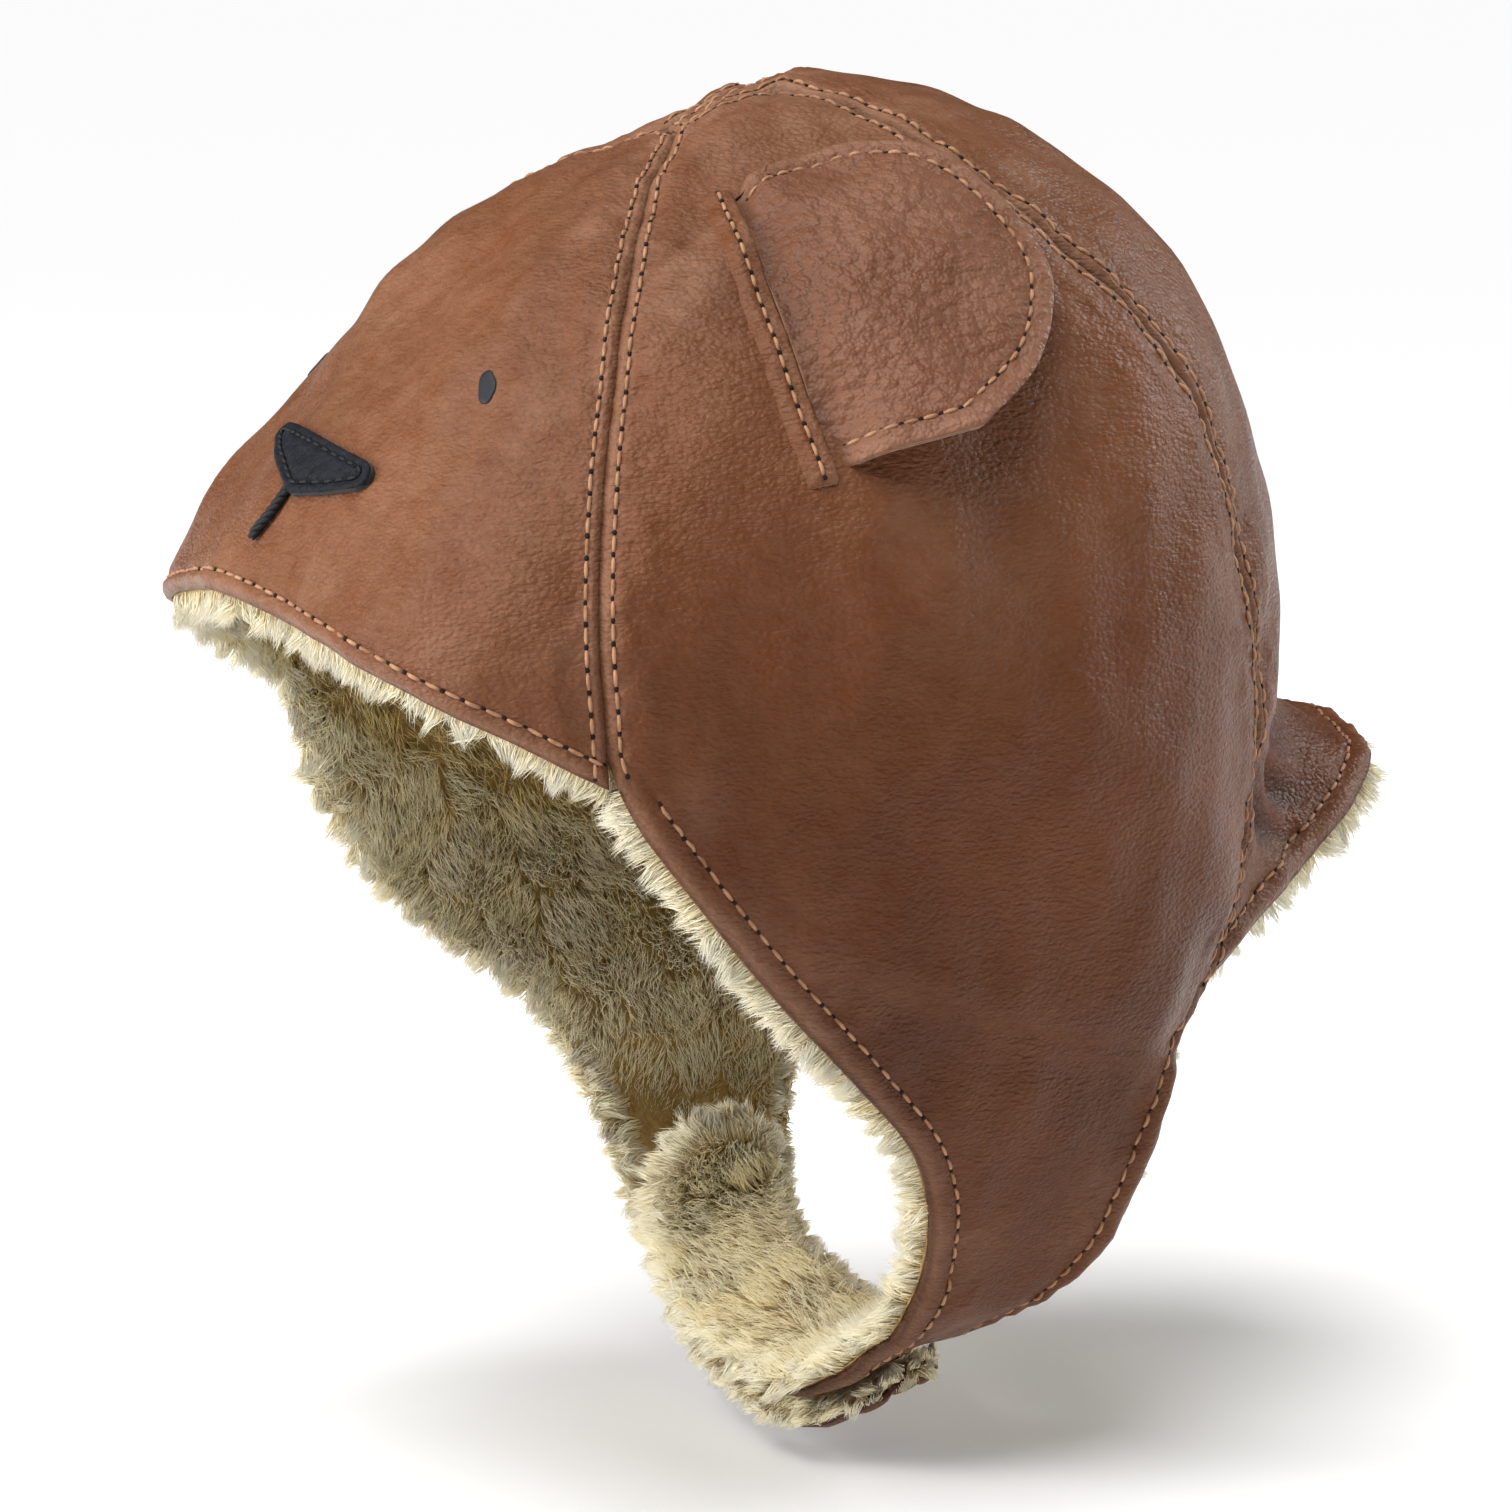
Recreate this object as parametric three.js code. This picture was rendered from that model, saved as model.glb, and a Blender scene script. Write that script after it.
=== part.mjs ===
// Child's lined leather bonnet with a bear face, ears that lift, and two chin straps.
// Millimetres. Origin at the head centre in the brow plane, +X wearer's left, -Y the face, +Z up.
import * as THREE from 'three';

// ---- driving dimensions ----------------------------------------------------------------
const HEAD_CENTRE_Y = 7.5;
const HALF_WIDTH = 82;
const REACH_FRONT = 114;
const REACH_BACK = 74.5;
const HEIGHT_TOP = 89.5;
const DEPTH_LOW = 128;
const PLAN_SQUARENESS = { front: 3.1, back: 2.05 };
const PROFILE_ROUNDNESS = { front: 1.5, side: 2.12, back: 2.03, low: 2.4 };
const FOREHEAD_SWELL = { direction: [0, -0.72, 0.69], share: 0.03, spread: 20 };

const LEATHER = 1.4;
const LINING = 6.0;
const STRAP_LINING = 3.0;
const PATCH = 1.0;
const GAP = 0.3;
const SEAM_GAP = 0.35;
const PINCHED = 0.5;
const SEAM_ROWS = 18;
const FLAP_ROWS = 26;

const FRONT_SEAM = [[4, -24, 85], [20, -37, 76], [38, -48, 61], [57, -61, 39], [69, -68, 12],
  [72, -69, -3], [72, -68, -17]];
const BACK_SEAM = [[5, -4, 89], [26, 3, 86], [42, 7, 79], [55, 17, 67], [63, 30, 53], [66, 41, 38],
  [67, 48, 21], [65, 55, 3], [61, 59, -17], [60, 54, -42], [60, 46, -64]];
const CHEEK_EDGE = [[72, -68, -17], [75, -55, -35], [75, -39, -54], [73, -24, -70], [67, -10, -86],
  [59, -4, -104], [45, -5, -121], [24, -10, -131], [0, -12, -134], [-24, -10, -130], [-43, -6, -119],
  [-50, -4, -110]];
const NECK_EDGE = [[60, 46, -64], [64, 42, -79], [63, 37, -95], [55, 31, -110], [41, 23, -119],
  [21, 14, -123], [0, 11, -124], [-21, 14, -122], [-39, 20, -115],
  [-47, 24, -107]];
const BROW_RISE = 22;
const FLAP_BLEND = 0.5;
const NECK_LAG = 7.5;
const SAG = { x: 28, spread: 20, drop: 6, start: 0.3, end: 0.5 };

const SKIRT_FLARE = 32;
const SKIRT_CURL = 3;
const SKIRT_LIFT = 2;
const SKIRT_START = 0.7;
const SKIRT_PINCH = 3;
const HEM_RISE = 48;
const HEM_CURL = 1.15;

const STRAP_DROP = 8.6;
const OUTER_END = 0.88;
const DROP_START = 0.3;
const DROP_END = 0.48;
const TIP_LENGTH = 0.07;
const TIP_WIDTH = 0.45;
const HOOK_SPAN = [0.76, 0.9];
const LOOP_SPAN = [0.6, 0.83];
const PATCH_MARGIN = 0.2;

const EAR_BASE = [[35.5, -29, 72.5], [75, -31.5, 31]];
const EAR_OUTLINE = [[34, -18, 77], [37, -8, 79], [46, 4, 76], [59, 10, 64], [66, 9.5, 54],
  [72, 3, 43.5], [76, -10, 34.5]];
const EAR_LEATHER = 1.2;
const EAR_REST = 0.6;
const EAR_STAND = { all: 1.2, lower: 5, from: 0.35 };
const LIP = { near: 1.2, far: 4.6, thick: 1.2, past: 0.04 };

const ON_LEATHER = 0.3;
const NOSE = { x: 8, y: -91, halfWidth: 20, top: 33.2, bottom: 24.5, tilt: -0.12, lean: 0 };
const NOSE_TAPER = { shape: 1.5, narrow: 0.88 };
const NOSE_THICK = 1.1;
const MOUTH = { x: 6.5, y: -97, halfWidth: 0.9, top: 23.8, bottom: 17, tilt: 0, lean: 5 };
const MOUTH_THICK = 1.2;
const EYE = { x: 38.7, y: -74, halfWidth: 1.6, top: 45.6, bottom: 40.4, tilt: 0, lean: -5 };
const EYE_THICK = 0.4;

// ---- colours ---------------------------------------------------------------------------
const material = (name, colour, roughness) => {
  const m = new THREE.MeshStandardMaterial({ color: colour, roughness, metalness: 0 });
  m.name = name;
  return m;
};
const BROWN = material('brown_leather', 0x7d503a, 0.55);
const BLACK = material('black_leather', 0x1c1d22, 0.6);
const FUR = material('fleece_lining', 0xd9cda0, 0.95);
const THREAD = material('black_thread', 0x141518, 0.7);
const TAPE = material('hook_loop_tape', 0x3a2a22, 0.9);

// ---- small helpers ---------------------------------------------------------------------
const vec = (p) => new THREE.Vector3(...p);
const mirror = (v) => new THREE.Vector3(-v.x, v.y, v.z);
const mix = (a, b, k) => a.clone().lerp(b, k);
const step = (a, b, x) => {
  const k = Math.min(1, Math.max(0, (x - a) / (b - a)));
  return k * k * (3 - 2 * k);
};
const hump = (s) => 4 * s * (1 - s);
const curve = (points) => new THREE.CatmullRomCurve3(points.map(vec), false, 'centripetal');

// Outer surface of the bonnet in the direction of p, seen from the head centre.
function onBody(p, lift = 0) {
  const centre = new THREE.Vector3(0, HEAD_CENTRE_Y, 0);
  const d = p.clone().sub(centre).normalize();
  const flat = Math.hypot(d.x, d.y) + 1e-9;
  const turn = d.y / flat;
  const ahead = turn < 0;
  const n = ahead ? PLAN_SQUARENESS.front : PLAN_SQUARENESS.back;
  const reach = ahead ? REACH_FRONT : REACH_BACK;
  const across = Math.abs(d.x) / flat / HALF_WIDTH;
  const plan = (across ** n + (Math.abs(turn) / reach) ** n) ** (-1 / n);
  const end = ahead ? PROFILE_ROUNDNESS.front : PROFILE_ROUNDNESS.back;
  const upper = PROFILE_ROUNDNESS.side + (end - PROFILE_ROUNDNESS.side) * step(0, 1, Math.abs(turn));
  const e = d.z > 0 ? upper : PROFILE_ROUNDNESS.low;
  const tall = d.z > 0 ? HEIGHT_TOP : DEPTH_LOW;
  let radius = ((flat / plan) ** e + (Math.abs(d.z) / tall) ** e) ** (-1 / e);
  const away = THREE.MathUtils.radToDeg(d.angleTo(vec(FOREHEAD_SWELL.direction)));
  radius *= 1 + FOREHEAD_SWELL.share * Math.exp(-((away / FOREHEAD_SWELL.spread) ** 2));
  return d.multiplyScalar(radius + lift).add(centre);
}

// ---- edge curves of the cut pieces -----------------------------------------------------
const frontSeam = curve(FRONT_SEAM);
const backSeam = curve(BACK_SEAM);
const cheekEdge = curve(CHEEK_EDGE);
const neckEdge = curve(NECK_EDGE);
const crownLine = new THREE.LineCurve3(vec(FRONT_SEAM[0]), vec(BACK_SEAM[0]));
const crownShare = crownLine.getLength() / (crownLine.getLength() + backSeam.getLength());

function centreEdge(t) {
  if (t < crownShare) {
    return onBody(crownLine.getPoint(t / crownShare));
  }
  return onBody(backSeam.getPointAt((t - crownShare) / (1 - crownShare)));
}

// ---- surfaces: s runs across from the wearer's left or the front, t runs down ------------
function frontSurface(s, t) {
  const left = frontSeam.getPointAt(t);
  const p = mix(left, mirror(left), s);
  p.z += BROW_RISE * t * t * hump(s);
  return onBody(p);
}

function sideSurface(s, t) {
  return onBody(mix(frontSeam.getPointAt(t), backSeam.getPointAt(t), s));
}

function centreSurface(s, t) {
  const left = centreEdge(t);
  const p = mix(left, mirror(left), s);
  const down = Math.max(0, (t - SKIRT_START) / (1 - SKIRT_START));
  p.z += HEM_RISE * down ** HEM_CURL * hump(s);
  const q = onBody(p);
  const middle = hump(s) ** 2.2;
  q.y += middle * (SKIRT_FLARE * down ** SKIRT_CURL - SKIRT_PINCH * Math.sin(Math.PI * down));
  q.z += middle * SKIRT_LIFT * down ** 2;
  return q;
}

// The flap and strap of one side; side is 1 for the wearer's left and -1 for the right, and both
// straps hang lowest at the same place. The neck edge is shorter, so its points lag behind.
const flapSurface = (side) => (s, t) => {
  const neckT = t - NECK_LAG * t ** 2 * (1 - t) ** 3.7;
  const straight = mix(cheekEdge.getPointAt(t), neckEdge.getPointAt(neckT), s);
  const p = mix(onBody(straight), straight, step(0, FLAP_BLEND, t));
  const away = (side * p.x - SAG.x) / SAG.spread;
  p.z -= SAG.drop * Math.exp(-(away ** 2)) * step(SAG.start, SAG.end, t);
  return p;
};

// Unit normal of a surface, away from the head.
function normalAt(surface, s, t) {
  const h = 1e-3;
  const across = surface(Math.min(1, s + h), t).sub(surface(Math.max(0, s - h), t));
  const down = surface(s, Math.min(1, t + h)).sub(surface(s, Math.max(0, t - h)));
  const n = across.cross(down).normalize();
  const away = surface(s, t).sub(new THREE.Vector3(0, HEAD_CENTRE_Y, 0));
  return n.multiplyScalar(Math.sign(n.dot(away)));
}

// ---- closed solid between two offsets of a surface ---------------------------------------
function slab(surface, shape) {
  const { cols, levels, low, high, left, right } = shape;
  const grid = [low, high].map((offset) => levels.flatMap((t) => {
    const row = [];
    for (let i = 0; i <= cols; i += 1) {
      const s = left(t) + (right(t) - left(t)) * (i / cols);
      row.push(surface(s, t).addScaledVector(normalAt(surface, s, t), offset(s, t)));
    }
    return row;
  }));
  return solidFromLayers(grid, cols, levels.length - 1);
}

function solidFromLayers(grid, cols, rows) {
  const wide = cols + 1;
  const count = wide * (rows + 1);
  const position = grid.flat().flatMap((p) => [p.x, p.y, p.z]);
  const index = [];
  const quad = (a, b, c, d) => index.push(a, b, c, a, c, d);
  for (let j = 0; j < rows; j += 1) {
    for (let i = 0; i < cols; i += 1) {
      const a = j * wide + i;
      quad(a, a + 1, a + wide + 1, a + wide);
      quad(count + a, count + a + wide, count + a + wide + 1, count + a + 1);
    }
  }
  for (let j = 0; j < rows; j += 1) {
    const a = j * wide;
    const b = a + cols;
    quad(a, a + wide, count + a + wide, count + a);
    quad(b, count + b, count + b + wide, b + wide);
  }
  for (let i = 0; i < cols; i += 1) {
    const a = i;
    const b = rows * wide + i;
    quad(a, count + a, count + a + 1, a + 1);
    quad(b, b + 1, count + b + 1, count + b);
  }
  const geometry = new THREE.BufferGeometry();
  geometry.setAttribute('position', new THREE.Float32BufferAttribute(position, 3));
  geometry.setIndex(index);
  return faceOut(geometry);
}

function faceOut(geometry) {
  const p = geometry.getAttribute('position');
  const index = geometry.getIndex();
  const corner = (k) => new THREE.Vector3().fromBufferAttribute(p, index.getX(k));
  let volume = 0;
  for (let k = 0; k < index.count; k += 3) {
    volume += corner(k).dot(corner(k + 1).cross(corner(k + 2)));
  }
  if (volume < 0) {
    for (let k = 0; k < index.count; k += 3) {
      const b = index.getX(k + 1);
      index.setX(k + 1, index.getX(k + 2));
      index.setX(k + 2, b);
    }
  }
  geometry.computeVertexNormals();
  return geometry;
}

function mirrored(geometry) {
  const copy = geometry.clone();
  copy.scale(-1, 1, 1);
  return faceOut(copy);
}

// ---- assembly --------------------------------------------------------------------------
const hat = new THREE.Group();
hat.name = 'lined_bonnet';

function add(name, geometry, look) {
  const mesh = new THREE.Mesh(geometry, look);
  mesh.name = name;
  hat.add(mesh);
}

// Share of s that leaves the gap measured square to the edge, however the rows meet it.
function edgeShare(surface, s, t, gap) {
  const h = 1e-3;
  const across = surface(s + h * (1 - 2 * s), t).sub(surface(s, t)).divideScalar(h);
  const down = surface(s, Math.min(1, t + h)).sub(surface(s, Math.max(0, t - h)));
  return gap * down.length() / across.cross(down).length();
}

const inset = (surface, gap) => ({
  left: (t) => edgeShare(surface, 0, t, gap),
  right: (t) => 1 - edgeShare(surface, 1, t, gap),
});
const flat = (value) => () => value;

// Evenly spaced rows from start to end.
function spread(start, end, rows) {
  return Array.from({ length: rows + 1 }, (_, j) => start + (end - start) * (j / rows));
}

// The fleece is pinched where it is sewn and plump between the seams.
const plump = (s) => LINING * (PINCHED + (1 - PINCHED) * Math.sqrt(hump(s)));

function leatherAndLining(surface, shape) {
  const edge = inset(surface, SEAM_GAP / 2);
  const leather = slab(surface, { ...edge, ...shape, low: flat(-LEATHER), high: flat(0) });
  const under = -LEATHER - GAP;
  const lining = slab(surface, { ...edge, ...shape, low: (s) => under - plump(s), high: flat(under) });
  return [leather, lining];
}

// One flap with its strap: how far it lies outside the other strap, its lining there, its end.
function flapPieces(surface, drop, strapLining, end) {
  const level = (t) => drop * step(DROP_START, DROP_END, t);
  const half = (t) => {
    const past = Math.max(0, (t - end) / TIP_LENGTH + 1);
    return 0.5 * (1 - (1 - TIP_WIDTH) * past ** 2);
  };
  const outline = {
    cols: 8,
    levels: spread(0.004, end, FLAP_ROWS),
    left: (t) => 0.5 - half(t),
    right: (t) => 0.5 + half(t),
  };
  const leather = slab(surface, {
    ...outline, low: (s, t) => level(t) - LEATHER, high: (s, t) => level(t),
  });
  const under = (t) => level(t) - LEATHER - GAP;
  const thick = (s, t) => plump(s) + (strapLining - plump(s)) * step(DROP_START, DROP_END, t);
  const lining = slab(surface, {
    ...outline, low: (s, t) => under(t) - thick(s, t), high: (s, t) => under(t),
  });
  return [leather, lining];
}

function tapePatch(surface, span, rows, low) {
  return slab(surface, {
    cols: 6,
    levels: spread(...span, rows),
    left: flat(PATCH_MARGIN),
    right: flat(1 - PATCH_MARGIN),
    low: flat(low),
    high: flat(low + PATCH),
  });
}

function addFlaps() {
  const [left, right] = [flapSurface(1), flapSurface(-1)];
  const [inner, innerLining] = flapPieces(left, 0, LINING, 1);
  add('flap_left', inner, BROWN);
  add('flap_lining_left', innerLining, FUR);
  add('hook_tape', tapePatch(left, HOOK_SPAN, 6, GAP), TAPE);
  const [outer, outerLining] = flapPieces(right, STRAP_DROP, STRAP_LINING, OUTER_END);
  add('flap_right', mirrored(outer), BROWN);
  add('flap_lining_right', mirrored(outerLining), FUR);
  const onLining = STRAP_DROP - LEATHER - STRAP_LINING - PATCH - 2 * GAP;
  add('loop_tape', mirrored(tapePatch(right, LOOP_SPAN, 10, onLining)), TAPE);
}

function addEars() {
  const base = new THREE.LineCurve3(...EAR_BASE.map(vec));
  const outline = curve(EAR_OUTLINE);
  const surface = (s, t) => onBody(mix(base.getPoint(s), outline.getPointAt(s), t));
  const stand = (s, t) => EAR_REST + t * (EAR_STAND.all + EAR_STAND.lower * step(EAR_STAND.from, 1, s));
  const shape = { cols: 12, levels: spread(0, 1, 8), left: flat(0), right: flat(1) };
  const layer = (lift) => slab(surface, {
    ...shape, low: (s, t) => stand(s, t) + lift, high: (s, t) => stand(s, t) + lift + EAR_LEATHER,
  });
  const inner = layer(0);
  const outer = layer(EAR_LEATHER + GAP);
  add('ear_inner_left', inner, BROWN);
  add('ear_outer_left', outer, BROWN);
  add('ear_inner_right', mirrored(inner), BROWN);
  add('ear_outer_right', mirrored(outer), BROWN);
}

function addLips() {
  const [top, bottom] = EAR_BASE.map(vec);
  const along = bottom.clone().sub(top);
  const start = top.clone().addScaledVector(along, -LIP.past);
  const forward = along.clone().cross(top.clone().add(bottom)).normalize();
  const surface = (s, t) => {
    const p = start.clone().addScaledVector(along, s * (1 + 2 * LIP.past));
    return onBody(p.addScaledVector(forward, LIP.near + (LIP.far - LIP.near) * t));
  };
  const lip = slab(surface, {
    cols: 14,
    levels: spread(0, 1, 3),
    left: flat(0),
    right: flat(1),
    low: flat(ON_LEATHER),
    high: (s, t) => ON_LEATHER + LIP.thick * (1 - 0.7 * t),
  });
  add('ear_slit_lip_left', lip, BROWN);
  add('ear_slit_lip_right', mirrored(lip), BROWN);
}

// A small piece lying on the forehead. Rows run down; width(t) is half its width, tilt how much its
// rows climb towards the wearer's left and lean how far its top stands to the left of its bottom.
function onForehead(place, width, cols, rows, high) {
  const surface = (s, t) => {
    const across = width(t) * (1 - 2 * s);
    const x = place.x + across + place.lean * (0.5 - t);
    const z = place.top + (place.bottom - place.top) * t + place.tilt * across;
    return onBody(new THREE.Vector3(x, place.y, z));
  };
  return slab(surface, {
    cols, levels: spread(0, 1, rows), left: flat(0), right: flat(1), low: flat(ON_LEATHER), high,
  });
}

function addFace() {
  const taper = (t) => NOSE.halfWidth * (1 - NOSE_TAPER.narrow * t ** NOSE_TAPER.shape);
  add('nose_patch', onForehead(NOSE, taper, 10, 8, flat(ON_LEATHER + NOSE_THICK)), BLACK);
  const round = (s) => ON_LEATHER + MOUTH_THICK * (0.4 + 0.6 * Math.sqrt(hump(s)));
  add('mouth_thread', onForehead(MOUTH, flat(MOUTH.halfWidth), 4, 6, round), THREAD);
  const oval = (t) => EYE.halfWidth * Math.sqrt(hump(0.05 + 0.9 * t));
  const eye = onForehead(EYE, oval, 4, 8, flat(ON_LEATHER + EYE_THICK));
  add('eye_left', eye, BLACK);
  add('eye_right', mirrored(eye), BLACK);
}

function addCrown() {
  const frontShape = { cols: 16, levels: spread(0.004, 1, 12) };
  const [front, frontLining] = leatherAndLining(frontSurface, frontShape);
  add('front_panel', front, BROWN);
  add('front_lining', frontLining, FUR);
  const crownLevels = spread(0.001, crownShare, 3);
  const backShape = { cols: 12, levels: [...crownLevels, ...spread(crownShare, 1, SEAM_ROWS).slice(1)] };
  const [back, backLining] = leatherAndLining(centreSurface, backShape);
  add('centre_back_panel', back, BROWN);
  add('centre_back_lining', backLining, FUR);
  const sideShape = { cols: 12, levels: [0.004, ...spread(0, 0.998, SEAM_ROWS).slice(1)] };
  const [side, sideLining] = leatherAndLining(sideSurface, sideShape);
  add('side_panel_left', side, BROWN);
  add('side_lining_left', sideLining, FUR);
  add('side_panel_right', mirrored(side), BROWN);
  add('side_lining_right', mirrored(sideLining), FUR);
}

addCrown();
addFlaps();
addEars();
addLips();
addFace();
export default hat;
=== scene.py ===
"""Child's bear-faced leather bonnet: leather, fleece, stitching and face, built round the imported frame.

Lengths are millimetres until mesh_object() turns them into metres.
+X is the wearer's left, -Y the way the face looks and +Z up. (s, t) run across and down a cut piece.
"""
import math

import bpy
import numpy as np
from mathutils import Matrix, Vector


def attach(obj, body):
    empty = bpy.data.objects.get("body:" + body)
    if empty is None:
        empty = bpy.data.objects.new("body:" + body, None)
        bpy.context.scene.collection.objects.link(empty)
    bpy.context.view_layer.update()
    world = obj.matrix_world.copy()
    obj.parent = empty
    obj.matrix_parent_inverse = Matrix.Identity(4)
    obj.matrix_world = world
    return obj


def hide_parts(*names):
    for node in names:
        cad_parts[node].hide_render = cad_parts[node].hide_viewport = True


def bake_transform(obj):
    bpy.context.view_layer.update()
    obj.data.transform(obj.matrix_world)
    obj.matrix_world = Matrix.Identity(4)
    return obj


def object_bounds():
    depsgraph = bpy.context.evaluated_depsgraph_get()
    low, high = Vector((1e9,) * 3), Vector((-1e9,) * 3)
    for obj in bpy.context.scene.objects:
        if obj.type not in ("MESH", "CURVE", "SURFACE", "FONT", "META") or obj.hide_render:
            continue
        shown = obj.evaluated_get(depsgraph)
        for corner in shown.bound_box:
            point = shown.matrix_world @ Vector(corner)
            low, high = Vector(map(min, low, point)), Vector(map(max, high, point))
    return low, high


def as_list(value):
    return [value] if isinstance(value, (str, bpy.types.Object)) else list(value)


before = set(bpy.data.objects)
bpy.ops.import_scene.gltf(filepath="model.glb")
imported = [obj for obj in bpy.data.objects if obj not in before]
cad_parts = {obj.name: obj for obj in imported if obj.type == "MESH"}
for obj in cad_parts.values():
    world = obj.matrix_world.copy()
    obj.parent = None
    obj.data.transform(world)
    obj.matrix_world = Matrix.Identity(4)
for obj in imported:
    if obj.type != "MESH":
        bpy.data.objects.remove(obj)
cad_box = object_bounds()

MM = 0.001
SIDES = (("left", 1), ("right", -1))

# ---- the crown's form ----
HEAD_CENTRE = np.array([0.0, 7.5, 0.0])
HALF_WIDTH = 82.0
REACH = {"front": 114.0, "back": 74.5}
HEIGHT_TOP = 89.5
DEPTH_LOW = 128.0
SQUARENESS = {"front": 3.1, "back": 2.05}
ROUNDNESS = {"front": 1.5, "side": 2.12, "back": 2.03, "low": 2.4}
SWELL = {"direction": (0.0, -0.72, 0.69), "share": 0.03, "spread": 20.0}
LEATHER = 1.4
GAP = 0.3
LINING = 6.0
STRAP_LINING = 3.0
PINCHED = 0.5

# ---- seams and free edges of the wearer's left side, from the crown down ----
FRONT_SEAM = [(4, -24, 85), (20, -37, 76), (38, -48, 61), (57, -61, 39), (69, -68, 12),
              (72, -69, -3), (72, -68, -17)]
BACK_SEAM = [(5, -4, 89), (26, 3, 86), (42, 7, 79), (55, 17, 67), (63, 30, 53), (66, 41, 38),
             (67, 48, 21), (65, 55, 3), (61, 59, -17), (60, 54, -42), (60, 46, -64)]
CHEEK_EDGE = [(72, -68, -17), (75, -55, -35), (75, -39, -54), (73, -24, -70), (67, -10, -86),
              (59, -4, -104), (45, -5, -121), (24, -10, -131), (0, -12, -134), (-24, -10, -130),
              (-43, -6, -119), (-50, -4, -110)]
NECK_EDGE = [(60, 46, -64), (64, 42, -79), (63, 37, -95), (55, 31, -110), (41, 23, -119),
             (21, 14, -123), (0, 11, -124), (-21, 14, -122), (-39, 20, -115), (-47, 24, -107)]
BROW_RISE = 22.0
FLAP_BLEND = 0.5
NECK_LAG = {"amount": 7.5, "fade": 3.7}
SAG = {"x": 28.0, "spread": 20.0, "drop": 6.0, "start": 0.3, "end": 0.5}
SPRUNG = {"at": 0.24, "spread": 0.17, "forward": 10.0, "outward": 3.0, "from": 0.12, "fade": 1.5}
SKIRT = {"flare": 32.0, "curl": 3.0, "lift": 5.5, "start": 0.7, "pinch": 3.0, "narrow": 2.2}
HEM_RISE = 48.0
HEM_CURL = 1.15
STRAP_DROP = 8.6
STRAP_END = {"left": 1.0, "right": 0.88}
TIP_LENGTH = 0.07
TIP_WIDTH = 0.45
# how far down the strap each square of tape starts and ends, and where the right strap stands off
HOOK_SPAN = (0.76, 0.9)
LOOP_SPAN = (0.6, 0.83)
DROP_SPAN = (0.3, 0.48)
PATCH = 1.0
PATCH_MARGIN = 0.2

# ---- ears, slits and face ----
EAR_BASE = [(35.5, -29, 72.5), (75, -31.5, 31)]
EAR_OUTLINE = [(34, -18, 77), (37, -8, 79), (46, 4, 76), (59, 10, 64), (66, 9.5, 54), (72, 3, 43.5),
               (76, -10, 34.5)]
EAR_LEATHER = 1.2
EAR_REST = 0.4
EAR_STAND = {"all": 0.7, "lower": 5.4, "from": 0.35}
EAR_PRESS = ((37, -16, 77), 17.0, 2.6)
LIP = {"near": 1.2, "far": 4.6, "thick": 1.2, "past": 0.04}
ON_LEATHER = 0.3
NOSE = {"x": 8.0, "y": -91.0, "z": 29.6, "slope": 0.7, "thick": 1.1, "row": 2.2}
NOSE_CORNERS = [(-15.0, 4.2), (19.4, -1.8), (5.6, -7.2)]
NOSE_ROUND = [2.9, 3.8, 3.0]
MOUTH = {"x": 9.8, "y": -97.0, "top": 25.2, "bottom": 15.8, "lean": 5.0, "bow": 0.5,
         "plies": 3, "turns": 2.6, "twist": 0.42, "ply": 0.52}
EYE = {"x": 39.0, "y": -74.0, "z": 42.8, "half": 2.0, "tall": 3.6, "lean": 0.17, "slope": 0.8}
EYE_RINGS = [(0.4, 0.3), (0.8, 0.28), (0.95, 0.2), (1.0, 0.05), (0.98, -0.2), (0.5, -0.3)]

# ---- the fold between the crown and each flap, for the wearer's left ----
HINGE = np.array([81.8, -11.8, -43.8])
FOLD_WAY = np.array([0.04, -0.377, -0.925])
FOLD_BAND = (-2.0, 22.0)
FOLD_SMOOTHING = 0.05
# how far along, and with what weight, places near the fold are averaged
FOLD_TAPS = [(-1.0, 0.1), (-0.66, 0.15), (-0.33, 0.16), (0.0, 0.18), (0.33, 0.16), (0.66, 0.15), (1.0, 0.1)]

# ---- how the leather is worked: rolled edges, grooves, swells and folds ----
SEAM = {"roll": 1.0, "roll_width": 0.75, "valley": 0.9, "valley_width": 7.0, "row": 2.1, "groove": 0.3,
        "groove_width": 0.5, "allowance": 0.3, "allowance_end": 8.0, "allowance_edge": 1.5}
HEM = {"roll": 1.0, "roll_width": 0.9, "puff": 0.35, "groove": 0.45, "groove_width": 0.6,
       "valley": 0.5, "valley_width": 9.0}
HEM_ROW = {"brow": 3.3, "cheek": 4.6, "neck": 4.2, "nape": 4.6, "tip": 4.2}
# a dent is its centre, width and depth
BROW_DENT = ((-44, -84, 36), 30.0, 5.0)
SLOW_SWELL = {"high": 0.7, "length": 46.0, "seed": 11}
MIDDLE_SWELL = {"high": 0.3, "length": 17.0, "seed": 12}
PUCKER = {"high": 0.2, "length": 5.5, "seed": 13, "waves": 24, "inside": 4.0, "width": 6.0}
# nape folds: place across, lean, width and depth; drag lines: height, place down and width
NAPE_FOLDS = [(0.12, 1.3, 0.026, -4.2), (0.2, 1.2, 0.03, -4.0), (0.3, 1.0, 0.05, -1.5)]
NAPE_FOLD_AT = (0.9, 0.065)
DRAG_LINES = [(0.5, 1.09, 0.035), (-0.45, 1.17, 0.03)]
DRAG_SLANT = 0.12
INNER_SHARE = 0.85
# paler where worn at the edges, swells and rim, paler towards the brow, and painted light towards the top
WEAR_AND_TOP_LIGHT = {"edge": 0.5, "swell": 0.25, "rim": 0.35, "top": 0.34, "brow": 0.2}
# darker with dirt in patches, and painted shade in the sunk edges, on the lower parts and in the deep folds
SOIL_AND_SHADE = {"edge": 0.55, "low": 0.42, "patch": 0.1, "fold": 0.7}

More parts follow.
